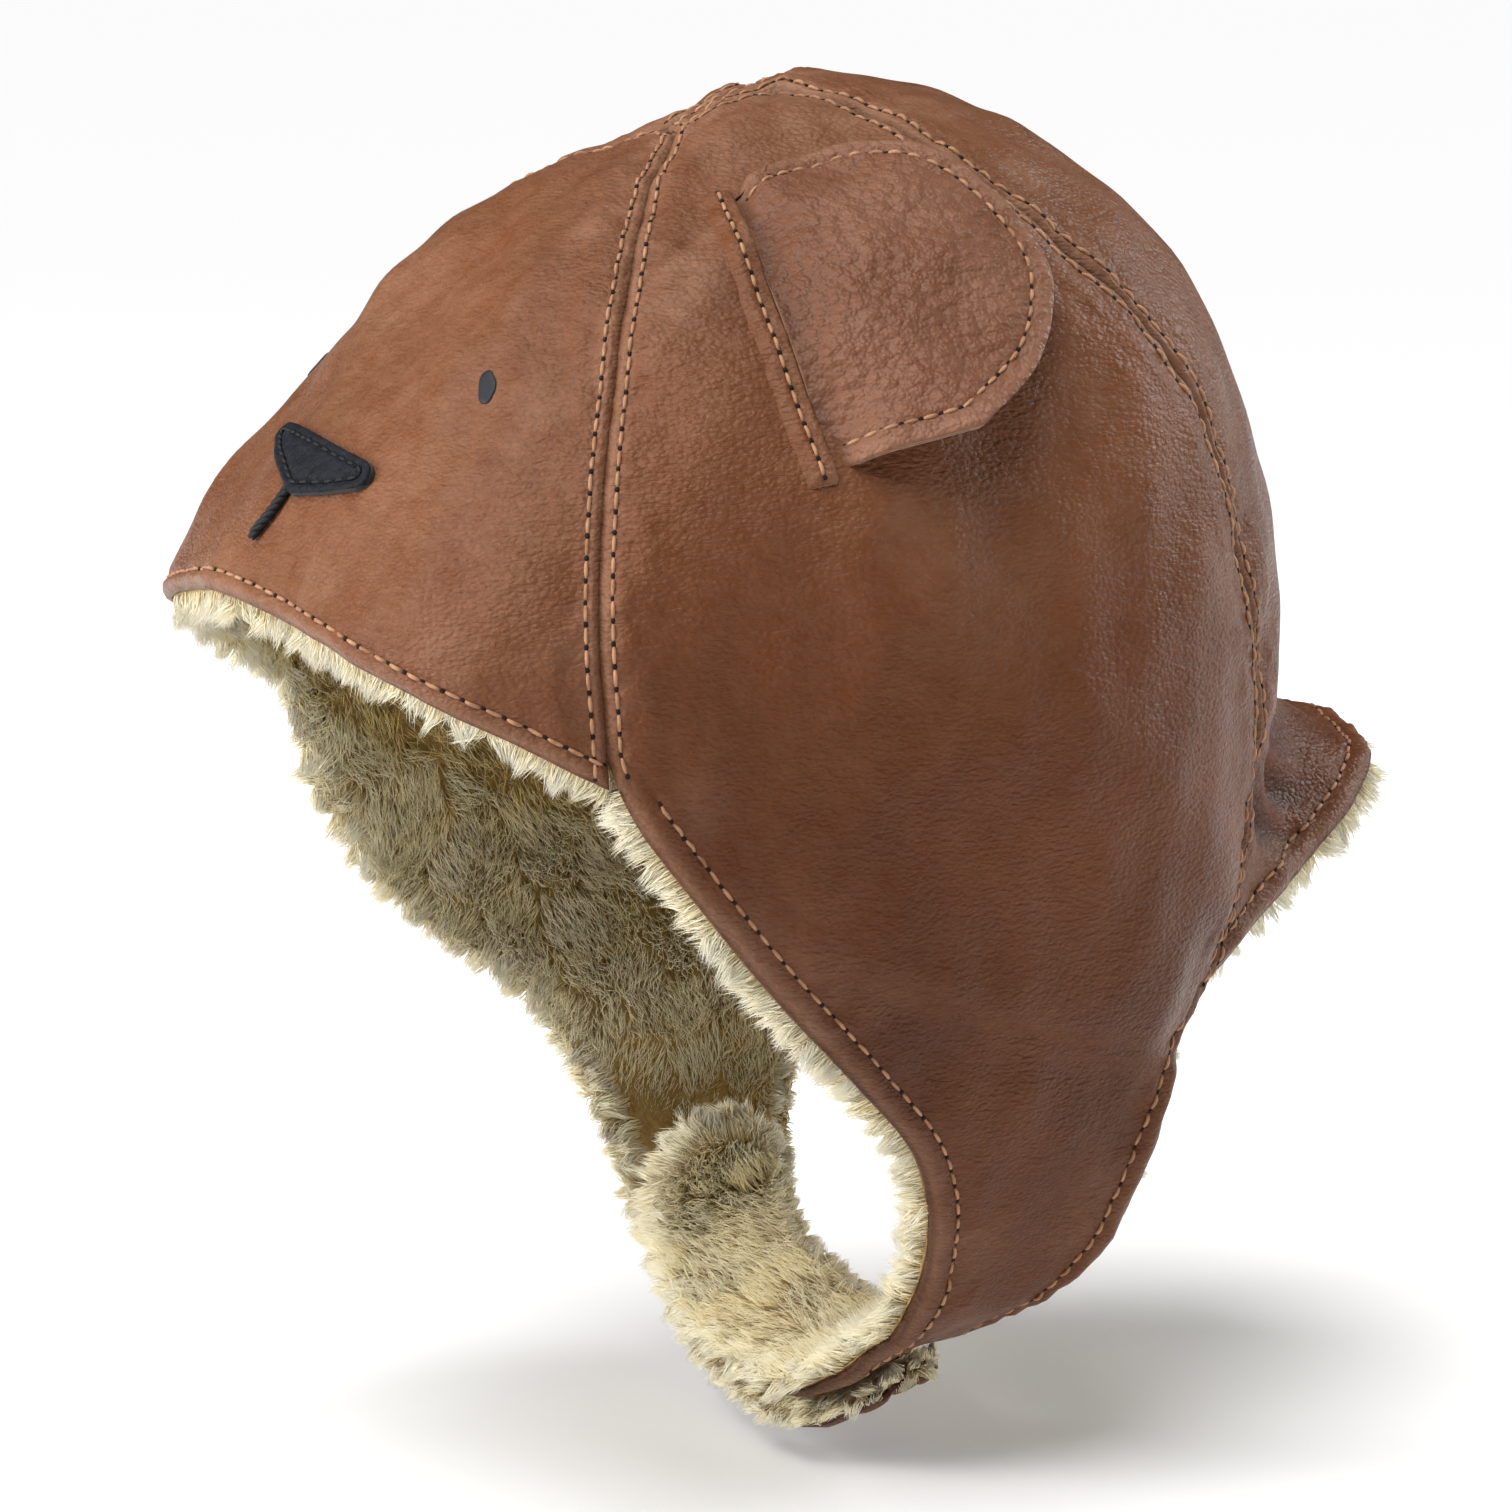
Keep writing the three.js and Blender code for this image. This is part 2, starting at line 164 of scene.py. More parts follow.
# ---- how finely each thing is cut up ----
NEAR_EDGE = [0.0, 0.35, 0.8, 1.3, 1.8, 2.3, 2.8, 3.5, 4.2, 4.9, 5.8, 7.0]
LEATHER_SPACING = 1.7
FLEECE_SPACING = 3.0
EAR_SPACING = 1.3
TAPE_SPACING = 1.5
LEATHER_START = 0.002
FLEECE_START = 0.004
EDGE_SAMPLES = 700
INSIDE_STEPS = 4
CHUNK = 4000
SCATTER_CELLS = (50, 90)
FAR_OFF = 99.0

# ---- stitches: pitch, gaps, thread, and the eyelets between them ----
STITCH = {"pitch": 3.5, "gap": 1.0, "radius": 0.34, "rings": 7, "sides": 6}
FINE_PITCH = 3.3
NOSE_PITCH = 3.0
HOLE = {"radius": 0.42, "sides": 8, "long": 1.15, "rim": 0.06, "high": 0.12, "low": -0.5, "reach": 0.5}
ROW_LIFT = 0.1
EAR_ROW = 3.3
LIP_ROW = 2.2

# ---- ears and the lips of their slits ----
EAR_TUCK = {"deep": 2.6, "over": 0.3}
EAR_CURL = {"high": 1.6, "width": 0.16, "from": 0.1, "to": 0.4}
EAR_SWELL = {"high": 0.3, "length": 15.0, "seed": 51}
LIP_EDGE = 0.1

# ---- fleece and tape pile ----
STRANDS = 21500
PILE = 8.5
STRAP_PILE = 3.6
BASE_SHARE = 0.5
COMB = (0.0, -0.25, -0.5)
LUMPS = [(0.5, 5.0, 41, 20), (0.4, 11.0, 42)]
CLUMP = {"size": 9.0, "pull": 0.16, "lean": 0.2, "stray": 0.15}
FRINGE_CLUMP = {"size": 4.4, "pull": 0.55, "lean": 0.34}
TAPE_CLUMP = {"size": 1.1, "pull": 0.2, "lean": 0.2}
HOOKS = {"low": GAP, "bottom": 0.0, "top": 0.55, "faces": 1.0, "seed": 71, "count": 900,
         "roots": 0.5 * PATCH, "length": 0.7, "look": "hooks"}
LOOPS = {"low": STRAP_DROP - LEATHER - STRAP_LINING - PATCH - 2 * GAP, "bottom": 0.45, "top": 1.0,
         "faces": -1.0, "seed": 72, "count": 4000, "roots": PATCH - 0.55, "length": 0.75, "look": "loops"}
STRAND = {"root": 0.32, "middle": 0.26, "shortest": 0.72, "longest": 1.12, "bend": 0.25}
FRINGE = {"from": 0.5, "to": 5.5, "share": 0.75, "slant": 0.35, "tuck": 0.35}

# ---- materials: a noise pattern is its scale per mm, detail, roughness and distortion ----
CLOUDS = (0.024, 3, 0.55, 0.4)
MOTTLE = (0.21, 5, 0.65, 0.3)
PORES = (2.6, 2)
TOOTH = (0.9, 3, 0.6)
WRINKLES = (1.0, 4, 0.6, 0.8)
MIDDLE = (0.3, 0.7)
MOTTLE_SHARE = 0.12
GROOVE_SHADE = (0.86, 1.04)
# how dark full dirt and painted shade make the leather
SOIL_AND_SHADE_DARKEST = 0.45
TOOTH_DEPTH = 0.14
PORE_DEPTH = 0.06
PEBBLE_DEPTH = 0.55
CREASE_DEPTH = 0.38
LEATHER_SHINE = 0.15

# ---- camera, floor and light ----
VIEW = {"azimuth": 62.4, "elevation": 7.9, "far": 800.0, "lens": 109.6, "aim_right": -5.7, "aim_up": -27.6}
SENSOR = 36.0
CLIP = (0.05, 100.0)
FLOOR_HALF = 30.0
FLOOR_BELOW = 0.006
FLOOR_WHITE = 0.94
OVERHEAD = {"power": 3.4, "spread": 0.9, "at": (0.9, -0.75, 2.7)}
WINDOW = {"at": (0.4, -1.35, 0.25), "aim": (0, 0, 0), "size": (0.5, 0.9), "power": 16.0}
CROWN_WINDOW = {"at": (-0.5, 0.9, 0.55), "aim": (0, 0, 0.03), "size": (0.5, 0.6), "power": 7.0}
ROOM = 0.07


# ---- numbers ----
def step(low, high, x):
    """Smooth step from 0 at low to 1 at high."""
    k = np.clip((np.asarray(x, float) - low) / (high - low), 0.0, 1.0)
    return k * k * (3 - 2 * k)


def hump(s):
    """0 at both ends of 0..1 and 1 in the middle."""
    return 4 * s * (1 - s)


def bell(x, centre, width):
    """1 at the centre, falling smoothly to nothing a width or two away."""
    return np.exp(-(((x - centre) / width) ** 2))


def mix(a, b, k):
    return a + (b - a) * k


def unit(v):
    return v / np.maximum(np.linalg.norm(v, axis=-1, keepdims=True), 1e-12)


def mirror(p):
    """The same place on the wearer's other side."""
    return p * np.array([-1.0, 1.0, 1.0])


def length_of(line):
    return np.linalg.norm(np.diff(line, axis=0), axis=1).sum()


def run_along(line):
    """Distance along the line of each of its points."""
    return np.concatenate([[0.0], np.cumsum(np.linalg.norm(np.diff(line, axis=0), axis=1))])


def pressed_in(p, place):
    """How deep a round dent given as (centre, width, depth) is at p."""
    centre, width, depth = place
    return depth * bell(np.linalg.norm(p - np.array(centre), axis=-1), 0, width)


def waves(p, length, seed, count=14):
    """Smooth noise of unit spread: crossed sine waves of about one length, in mm."""
    rng = np.random.default_rng(seed)
    k = unit(rng.normal(size=(count, 3))) * 2 * math.pi / length * rng.uniform(0.6, 1.5, (count, 1))
    phase = rng.uniform(0, 2 * math.pi, count)
    return np.sin(p @ k.T + phase).sum(-1) / math.sqrt(count / 2)


class Curve:
    """Centripetal Catmull-Rom curve through points. at(u) measures u along its length, from 0 to 1."""

    STEPS = 2400

    def __init__(self, points):
        p = np.array(points, float)
        self.spans = len(p) - 1
        self.p = np.vstack([2 * p[0] - p[1], p, 2 * p[-1] - p[-2]])
        share = np.linspace(0, 1, self.STEPS + 1)
        line = self.point(share)
        run = run_along(line)
        self.length = run[-1]
        self.even = self.point(np.interp(share * self.length, run, share))

    def point(self, t):
        x = t * self.spans
        i = np.minimum(x.astype(int), self.spans - 1)
        k = (x - i)[..., None]
        a, b, c, d = (self.p[i + j] for j in range(4))
        da, db, dc = (np.sum((q - r) ** 2, axis=-1, keepdims=True) ** 0.25
                      for q, r in ((b, a), (c, b), (d, c)))
        start = ((b - a) / da - (c - a) / (da + db) + (c - b) / db) * db
        end = ((c - b) / db - (d - b) / (db + dc) + (d - c) / dc) * db
        k2, k3 = k * k, k * k * k
        return (b * (2 * k3 - 3 * k2 + 1) + start * (k3 - 2 * k2 + k)
                + c * (3 * k2 - 2 * k3) + end * (k3 - k2))

    def at(self, u):
        x = np.clip(np.asarray(u, float), 0, 1) * self.STEPS
        i = np.minimum(x.astype(int), self.STEPS - 1)
        return mix(self.even[i], self.even[i + 1], (x - i)[..., None])


# ---- the bonnet's shape ----
def on_body(p):
    """The outer surface of the bonnet in the direction of p, seen from the head centre."""
    d = unit(p - HEAD_CENTRE)
    flat = np.hypot(d[..., 0], d[..., 1]) + 1e-9
    turn = d[..., 1] / flat
    ahead = turn < 0
    n = np.where(ahead, SQUARENESS["front"], SQUARENESS["back"])
    reach = np.where(ahead, REACH["front"], REACH["back"])
    plan = ((np.abs(d[..., 0]) / flat / HALF_WIDTH) ** n + (np.abs(turn) / reach) ** n) ** (-1 / n)
    end = np.where(ahead, ROUNDNESS["front"], ROUNDNESS["back"])
    upper = ROUNDNESS["side"] + (end - ROUNDNESS["side"]) * step(0, 1, np.abs(turn))
    e = np.where(d[..., 2] > 0, upper, ROUNDNESS["low"])
    tall = np.where(d[..., 2] > 0, HEIGHT_TOP, DEPTH_LOW)
    radius = ((flat / plan) ** e + (np.abs(d[..., 2]) / tall) ** e) ** (-1 / e)
    swell = unit(np.array(SWELL["direction"]))
    away = np.degrees(np.arccos(np.clip(d @ swell, -1, 1)))
    radius = radius * (1 + SWELL["share"] * bell(away, 0, SWELL["spread"]))
    return HEAD_CENTRE + d * radius[..., None]


front_seam = Curve(FRONT_SEAM)
back_seam = Curve(BACK_SEAM)
cheek_edge = Curve(CHEEK_EDGE)
neck_edge = Curve(NECK_EDGE)
crown_ends = np.array([FRONT_SEAM[0], BACK_SEAM[0]], float)
crown_length = np.linalg.norm(crown_ends[1] - crown_ends[0])
CROWN_SHARE = crown_length / (crown_length + back_seam.length)


def centre_edge(t):
    """The left edge of the centre-back piece, from the crown's front down the back seam."""
    crown = mix(crown_ends[0], crown_ends[1], np.clip(t / CROWN_SHARE, 0, 1)[..., None])
    back = back_seam.at((t - CROWN_SHARE) / (1 - CROWN_SHARE))
    return on_body(np.where((t < CROWN_SHARE)[..., None], crown, back))


def front_surface(s, t):
    left = front_seam.at(t)
    p = mix(left, mirror(left), s[..., None])
    p[..., 2] += BROW_RISE * t * t * hump(s)
    return on_body(p)


def side_surface(s, t):
    return on_body(mix(front_seam.at(t), back_seam.at(t), s[..., None]))


def centre_surface(s, t):
    left = centre_edge(t)
    p = mix(left, mirror(left), s[..., None])
    down = np.maximum(0, (t - SKIRT["start"]) / (1 - SKIRT["start"]))
    p[..., 2] += HEM_RISE * down ** HEM_CURL * hump(s)
    q = on_body(p)
    middle = hump(s) ** SKIRT["narrow"]
    q[..., 1] += middle * (SKIRT["flare"] * down ** SKIRT["curl"] - SKIRT["pinch"] * np.sin(math.pi * down))
    q[..., 2] += middle * SKIRT["lift"] * down**2
    return q


def flap_surface(side):
    """The flap and strap of one side, 1 for the wearer's left and -1 for the right."""
    def surface(s, t):
        neck_t = t - NECK_LAG["amount"] * t**2 * (1 - t) ** NECK_LAG["fade"]
        straight = mix(cheek_edge.at(t), neck_edge.at(neck_t), s[..., None])
        p = mix(on_body(straight), straight, step(0, FLAP_BLEND, t)[..., None])
        sagging = bell(side * p[..., 0], SAG["x"], SAG["spread"]) * step(SAG["start"], SAG["end"], t)
        p[..., 2] -= SAG["drop"] * sagging
        if side < 0:
            sprung = bell(t, SPRUNG["at"], SPRUNG["spread"]) * step(0.0, SPRUNG["from"], t)
            sprung = sprung * (1 - s) ** SPRUNG["fade"]
            p[..., 1] -= SPRUNG["forward"] * sprung
            p[..., 0] += SPRUNG["outward"] * sprung
        return p
    return surface


# ---- the cut pieces as sheets, with their relief ----


def side_and_flap(side, end):
    """The side panel for t from 0 to 1 with the flap below it, as one sheet, smooth at the fold.
    end says how far down the flap its strap goes; the sheet's own t ends at 1 + end."""
    flap = flap_surface(side)

    def plain(s, t):
        upper = side_surface(s, np.minimum(t, 1))
        lower = flap(s, np.clip(t - 1, 0, 1))
        return np.where((t < 1)[..., None], upper, lower)

    def surface(s, t):
        s, t = np.broadcast_arrays(np.asarray(s, float), np.asarray(t, float))
        past = np.maximum(0, (t - 1 - end) / TIP_LENGTH + 1)
        inset = 0.5 + (s - 0.5) * (1 - (1 - TIP_WIDTH) * past**2)
        p = plain(inset, t)
        near = np.abs(t - 1) < 3 * FOLD_SMOOTHING
        reach = FOLD_SMOOTHING * (1 - step(0, 3 * FOLD_SMOOTHING, np.abs(t[near] - 1)))
        p[near] = sum(weight * plain(inset[near], t[near] + shift * reach) for shift, weight in FOLD_TAPS)
        return p

    return surface


SLOPE_STEP = 1e-3


class Panel:
    """A sheet of the bonnet over (s, t). Every length handed in or out is in millimetres.
    borders lists its seams and hems as (side, start, end, row): side 0 is s = 0, 1 is s = 1, 2 is t = 0
    and 3 is t = t_end, and row is how far inside a hem its stitches run, or 0 for a seam.
    level says how far the whole strap stands off, and extra adds folds of the panel's own."""

    def __init__(self, surface, t_end, borders, mirrored=False, level=None, extra=None):
        self.surface, self.t_end, self.borders, self.mirrored = surface, t_end, borders, mirrored
        self.level = level or (lambda t: np.zeros(np.shape(t)))
        self.extra = extra or (lambda s, t: 0.0)
        middle = np.array([0.5]), np.array([0.5 * t_end])
        out = np.sum(self.cross(*middle) * (surface(*middle) - HEAD_CENTRE))
        self.turn = 1.0 if out > 0 else -1.0
        self.lines = [surface(*self.on_edge(side, np.linspace(start, end, EDGE_SAMPLES)))
                      for side, start, end, row in borders]

    def on_edge(self, side, run):
        if side < 2:
            return np.full_like(run, float(side)), run
        return run, np.full_like(run, 0.0 if side == 2 else self.t_end)

    def slopes(self, s, t):
        h = SLOPE_STEP
        low_s, high_s = np.maximum(0, s - h), np.minimum(1, s + h)
        low_t, high_t = np.maximum(0, t - h), np.minimum(self.t_end, t + h)
        across = (self.surface(high_s, t) - self.surface(low_s, t)) / (high_s - low_s)[..., None]
        down = (self.surface(s, high_t) - self.surface(s, low_t)) / (high_t - low_t)[..., None]
        return across, down

    def cross(self, s, t):
        return np.cross(*self.slopes(s, t))

    def normal(self, s, t):
        return unit(self.cross(s, t)) * self.turn

    def inside(self, side, run, distance):
        """(s, t) of points a distance inside an edge, measured square to the edge along the sheet."""
        s, t = self.on_edge(side, run)
        across, down = self.slopes(s, t)
        along, inward = (down, across) if side < 2 else (across, down)
        along = unit(along)
        inward = unit(inward - along * np.sum(inward * along, -1, keepdims=True))
        inward = inward * (1 if side in (0, 2) else -1) * (np.asarray(distance) / INSIDE_STEPS)[..., None]
        for _ in range(INSIDE_STEPS):
            across, down = self.slopes(s, t)
            aa, ad, dd = (np.sum(x * y, -1) for x, y in ((across, across), (across, down), (down, down)))
            ma, md = np.sum(inward * across, -1), np.sum(inward * down, -1)
            square = np.maximum(aa * dd - ad * ad, 1e-9)
            s = np.clip(s + (ma * dd - md * ad) / square, 0, 1)
            t = np.clip(t + (md * aa - ma * ad) / square, 0, self.t_end)
        return s, t

    def distances(self, s, t):
        """Distance from each place to each of the borders."""
        p = self.surface(s, t)
        flat = p.reshape(-1, 3)
        return [nearest(line, flat).reshape(p.shape[:-1]) for line in self.lines]

    def relief(self, s, t):
        """How far the leather stands off the plain surface: rolled edges, rows, puckers and folds."""
        p = self.surface(s, t)
        away = self.distances(s, t)
        near = np.min(away, axis=0)
        stand = self.extra(s, t) + softness(p, near, self.mirrored)
        for distance, (side, start, end, row) in zip(away, self.borders):
            stand = stand + (hem_relief(distance, row) if row else seam_relief(distance))
        return stand

    def point(self, s, t, offset=0.0, share=1.0):
        """Point offset mm outside the leather's outer face. share is how much of the relief it has."""
        s, t = np.asarray(s, float), np.asarray(t, float)
        stand = self.level(t) + offset
        if share:
            stand = stand + share * self.relief(s, t)
        p = self.surface(s, t) + self.normal(s, t) * np.asarray(stand)[..., None]
        return mirror(p) if self.mirrored else p

    def outward(self, s, t):
        n = self.normal(np.asarray(s, float), np.asarray(t, float))
        return mirror(n) if self.mirrored else n

    def grid(self, t_start, spacing):
        """(s, t) over the sheet, close together near its edges and about spacing apart elsewhere."""
        near = np.array(NEAR_EDGE)
        line = np.linspace(0, 1, 60)
        middle = np.full_like(line, 0.5)
        wide = length_of(self.surface(line, middle * self.t_end)) - 2 * near[-1]
        tall = length_of(self.surface(middle, mix(t_start, self.t_end, line))) - 2 * near[-1]
        cols, rows = max(4, int(wide / spacing)), max(4, int(tall / spacing))
        guess = np.linspace(0, 1, 2 * len(near) + cols - 1)
        most = 0.4 / near[-1]
        top = t_start + near[:, None] * self.per_mm(2, guess)
        bottom = self.t_end - near[::-1, None] * self.per_mm(3, guess)
        down = np.linspace(0, 1, rows + 1)[1:-1, None]
        t = np.vstack([top, mix(top[-1:], bottom[:1], down), bottom])
        left = near * np.minimum(self.per_mm(0, t[:, 0]), most)[:, None]
        right = 1 - near[::-1] * np.minimum(self.per_mm(1, t[:, -1]), most)[:, None]
        inner = mix(left[:, -1:], right[:, :1], np.linspace(0, 1, cols + 1)[None, 1:-1])
        return np.hstack([left, inner, right]), t

    def per_mm(self, side, run):
        """How much of s or t is one millimetre square to an edge."""
        across, down = self.slopes(*self.on_edge(side, run))
        square = np.maximum(np.linalg.norm(np.cross(across, down), axis=-1), 1e-9)
        return np.linalg.norm(down if side < 2 else across, axis=-1) / square


def nearest(line, points):
    """Distance from each point to the nearest point of a line, a few thousand points at a time."""
    away = np.empty(len(points))
    lengths = np.sum(line * line, axis=1)
    for first in range(0, len(points), CHUNK):
        p = points[first:first + CHUNK]
        square = np.sum(p * p, axis=1)[:, None] + lengths - 2 * p @ line.T
        away[first:first + CHUNK] = np.sqrt(np.maximum(square.min(axis=1), 0.0))
    return away


def seam_relief(d):
    """An edge rolled under into a sunk seam, with a grooved row beside it and the allowance behind."""
    end, edge = SEAM["allowance_end"], SEAM["allowance_edge"]
    return (-SEAM["roll"] * bell(d, 0, SEAM["roll_width"])
            - SEAM["valley"] * bell(d, 0, SEAM["valley_width"])
            - SEAM["groove"] * bell(d, SEAM["row"], SEAM["groove_width"])
            + SEAM["allowance"] * (1 - step(end - edge, end + edge, d)))


def hem_relief(d, row):
    """A turned hem: a rolled edge, a puff inside it and a grooved row of stitches."""
    return (-HEM["roll"] * bell(d, 0, HEM["roll_width"]) + HEM["puff"] * bell(d, 0.5 * row, 0.4 * row)
            - HEM["groove"] * bell(d, row, HEM["groove_width"])
            - HEM["valley"] * bell(d, row, HEM["valley_width"]))


def softness(p, near, other_side):
    """Slow swells of the hide all over, dents, and small puckers within a few millimetres of the edges."""
    real = mirror(p) if other_side else p
    pressed = pressed_in(p, EAR_PRESS) + pressed_in(real, BROW_DENT)
    slow = sum(swell["high"] * waves(real, swell["length"], swell["seed"])
               for swell in (SLOW_SWELL, MIDDLE_SWELL))
    pucker = waves(real, PUCKER["length"], PUCKER["seed"], PUCKER["waves"])
    return slow - pressed + PUCKER["high"] * bell(near, PUCKER["inside"], PUCKER["width"]) * pucker


def nape_folds(s, t):
    """Creases that fan out where the skirt turns up, the same on both sides."""
    across = np.minimum(s, 1 - s)
    down, tall = NAPE_FOLD_AT
    return sum(depth * bell(across, place + lean * (t - down), width) * bell(t, down, tall)
               for place, lean, width, depth in NAPE_FOLDS)


def flap_folds(s, t):
    """Shallow drag lines across the top of the flap."""
    return sum(high * bell(t + DRAG_SLANT * s, place, width) for high, place, width in DRAG_LINES)


def strap_level(t):
    """How far the right strap stands off to lie over the left one."""
    return STRAP_DROP * step(*DROP_SPAN, t - 1)


def side_panel(side, sign):
    """One side of the crown with its flap and strap, in one piece."""
    end = 1 + STRAP_END[side]
    borders = THREE_SEAMS + [(0, 1, end, HEM_ROW["cheek"]), (1, 1, end, HEM_ROW["neck"]),
                             (3, 0, 1, HEM_ROW["tip"])]
    return Panel(side_and_flap(sign, STRAP_END[side]), end, borders, mirrored=sign < 0,
                 level=strap_level if sign < 0 else None, extra=flap_folds)


THREE_SEAMS = [(0, 0, 1, 0), (1, 0, 1, 0), (2, 0, 1, 0)]
FRONT = Panel(front_surface, 1.0, THREE_SEAMS + [(3, 0, 1, HEM_ROW["brow"])])
CENTRE = Panel(centre_surface, 1.0, THREE_SEAMS + [(3, 0, 1, HEM_ROW["nape"])], extra=nape_folds)
SIDE = {side: side_panel(side, sign) for side, sign in SIDES}


# ---- meshes ----
def mesh_object(name, points, faces, looks, floats=None, face_look=None, keep_rest=True):
    """A smooth-shaded mesh from points in mm and a list of (n, corners) index arrays."""
    points = np.asarray(points, float).reshape(-1, 3)
    loops = np.concatenate([f.ravel() for f in faces]).astype(np.int32)
    sizes = np.concatenate([np.full(len(f), f.shape[1]) for f in faces])
    starts = np.concatenate([[0], np.cumsum(sizes)[:-1]]).astype(np.int32)
    mesh = bpy.data.meshes.new(name)
    mesh.vertices.add(len(points))
    mesh.vertices.foreach_set("co", (points * MM).astype(np.float32).ravel())
    mesh.loops.add(len(loops))
    mesh.loops.foreach_set("vertex_index", loops)
    mesh.polygons.add(len(sizes))
    mesh.polygons.foreach_set("loop_start", starts)
    mesh.update(calc_edges=True)
    mesh.polygons.foreach_set("use_smooth", np.ones(len(sizes), bool))
    for look in looks:
        mesh.materials.append(look)
    if face_look is not None:
        mesh.polygons.foreach_set("material_index", np.asarray(face_look, np.int32))
    for key, values in (floats or {}).items():
        attribute = mesh.attributes.new(key, "FLOAT", "POINT")
        attribute.data.foreach_set("value", np.asarray(values, np.float32).ravel())
    if keep_rest:
        attribute = mesh.attributes.new("rest", "FLOAT_VECTOR", "POINT")
        attribute.data.foreach_set("vector", points.astype(np.float32).ravel())
    mesh.validate()
    obj = bpy.data.objects.new(name, mesh)
    bpy.context.scene.collection.objects.link(obj)
    return obj


def grid_quads(rows, cols, start=0):
    """The quads of a grid of points whose first one is number start."""
    a = start + (np.arange(rows - 1)[:, None] * cols + np.arange(cols - 1)[None, :]).ravel()
    return np.stack([a, a + 1, a + cols + 1, a + cols], axis=1)


def facing_out(points, faces):
    """The same faces, turned over where the closed mesh would be inside out."""
    p = points.reshape(-1, 3)
    p = p - p.mean(0)
    volume = 0.0
    for f in faces:
        for k in range(1, f.shape[1] - 1):
            a, b, c = p[f[:, 0]], p[f[:, k]], p[f[:, k + 1]]
            volume += np.sum(a * np.cross(b, c))
    return faces if volume > 0 else [f[:, ::-1] for f in faces]


def shell(name, outer, inner, looks, floats=None, edge_look=0, inner_look=0):
    """A closed sheet between two grids of points. floats are given for the outer grid."""
    rows, cols = outer.shape[:2]
    count = rows * cols
    top = grid_quads(rows, cols)
    under = grid_quads(rows, cols, count)[:, ::-1]
    ring = np.concatenate([np.arange(cols), np.arange(2 * cols - 1, count, cols),
                           np.arange(count - 2, count - cols - 1, -1),
                           np.arange(count - 2 * cols, 0, -cols)])
    after = np.roll(ring, -1)
    side = np.stack([after, ring, ring + count, after + count], axis=1)
    points = np.concatenate([outer.reshape(-1, 3), inner.reshape(-1, 3)])
    faces = facing_out(points, [top, under, side])
    look = np.repeat([0, inner_look, edge_look], [len(top), len(under), len(side)])
    doubled = {k: np.concatenate([v.ravel(), v.ravel()]) for k, v in (floats or {}).items()}
    return mesh_object(name, points, faces, looks, doubled, look)


def tubes(centres, normals, radii, sides):
    """Closed tubes through centres (tubes, rings, 3). Returns points and faces."""
    count, rings = centres.shape[:2]
    along = unit(np.gradient(centres, axis=1))
    up = unit(normals - along * np.sum(normals * along, -1, keepdims=True))
    across = np.cross(along, up)
    turn = np.linspace(0, 2 * math.pi, sides, endpoint=False)
    ring = across[:, :, None] * np.cos(turn)[:, None] + up[:, :, None] * np.sin(turn)[:, None]
    points = centres[:, :, None] + ring * np.asarray(radii)[..., None, None]
    base = (np.arange(count)[:, None, None] * rings + np.arange(rings - 1)[None, :, None]) * sides
    a = base + np.arange(sides)
    b = base + (np.arange(sides) + 1) % sides
    quads = np.stack([a, b, b + sides, a + sides], -1).reshape(-1, 4)
    first = np.arange(count)[:, None] * rings * sides + np.arange(sides)[::-1]
    last = (np.arange(count)[:, None] * rings + rings - 1) * sides + np.arange(sides)
    return points.reshape(-1, 3), [quads, np.concatenate([first, last])]


# ---- stitching ----
def at_run(values, run, places):
    """The values at some places along a line, where run says how far along each value is."""
    return np.stack([np.interp(places, run, column) for column in values.T], axis=-1)


def stitches(name, rows, looks, pitch=STITCH["pitch"]):
    """Every stitch of the rows as a short arched thread, with a needle hole between each two.
    A row is (points, normals) along the leather's face."""
    threads, ups, holes, hole_ups, ways = [], [], [], [], []
    x = np.linspace(0, 1, STITCH["rings"])
    radius, reach = STITCH["radius"], HOLE["reach"]
    for points, normals in rows:
        run = run_along(points)
        count = max(1, int(round(run[-1] / pitch)))
        size = run[-1] / count
        start = np.arange(count)[:, None] * size
        places = start + STITCH["gap"] / 2 + (size - STITCH["gap"]) * x[None, :]
        up = unit(at_run(normals, run, places))
        arch = radius * (1.35 * np.sqrt(np.sin(math.pi * np.clip(x, 0.02, 0.98))) - 0.75)
        threads.append(at_run(points, run, places) + up * arch[None, :, None])
        ups.append(up)
        marks = np.arange(count + 1) * size
        holes.append(at_run(points, run, marks))
        hole_ups.append(unit(at_run(normals, run, marks)))
        ahead = at_run(points, run, np.minimum(marks + reach, run[-1]))
        behind = at_run(points, run, np.maximum(marks - reach, 0))
        ways.append(unit(ahead - behind))
    centres, up = np.concatenate(threads), np.concatenate(ups)
    radii = radius * (0.55 + 0.45 * np.sqrt(np.sin(math.pi * np.clip(x, 0.03, 0.97))))
    points, faces = tubes(centres, up, np.broadcast_to(radii, centres.shape[:2]), STITCH["sides"])
    dots, dot_faces = eyelets(*(np.concatenate(part) for part in (holes, hole_ups, ways)))
    dot_faces = dot_faces + len(points)
    look = np.concatenate([np.zeros(sum(len(f) for f in faces)), np.ones(len(dot_faces))])
    return mesh_object(name, np.concatenate([points, dots]), faces + [dot_faces], looks, face_look=look)


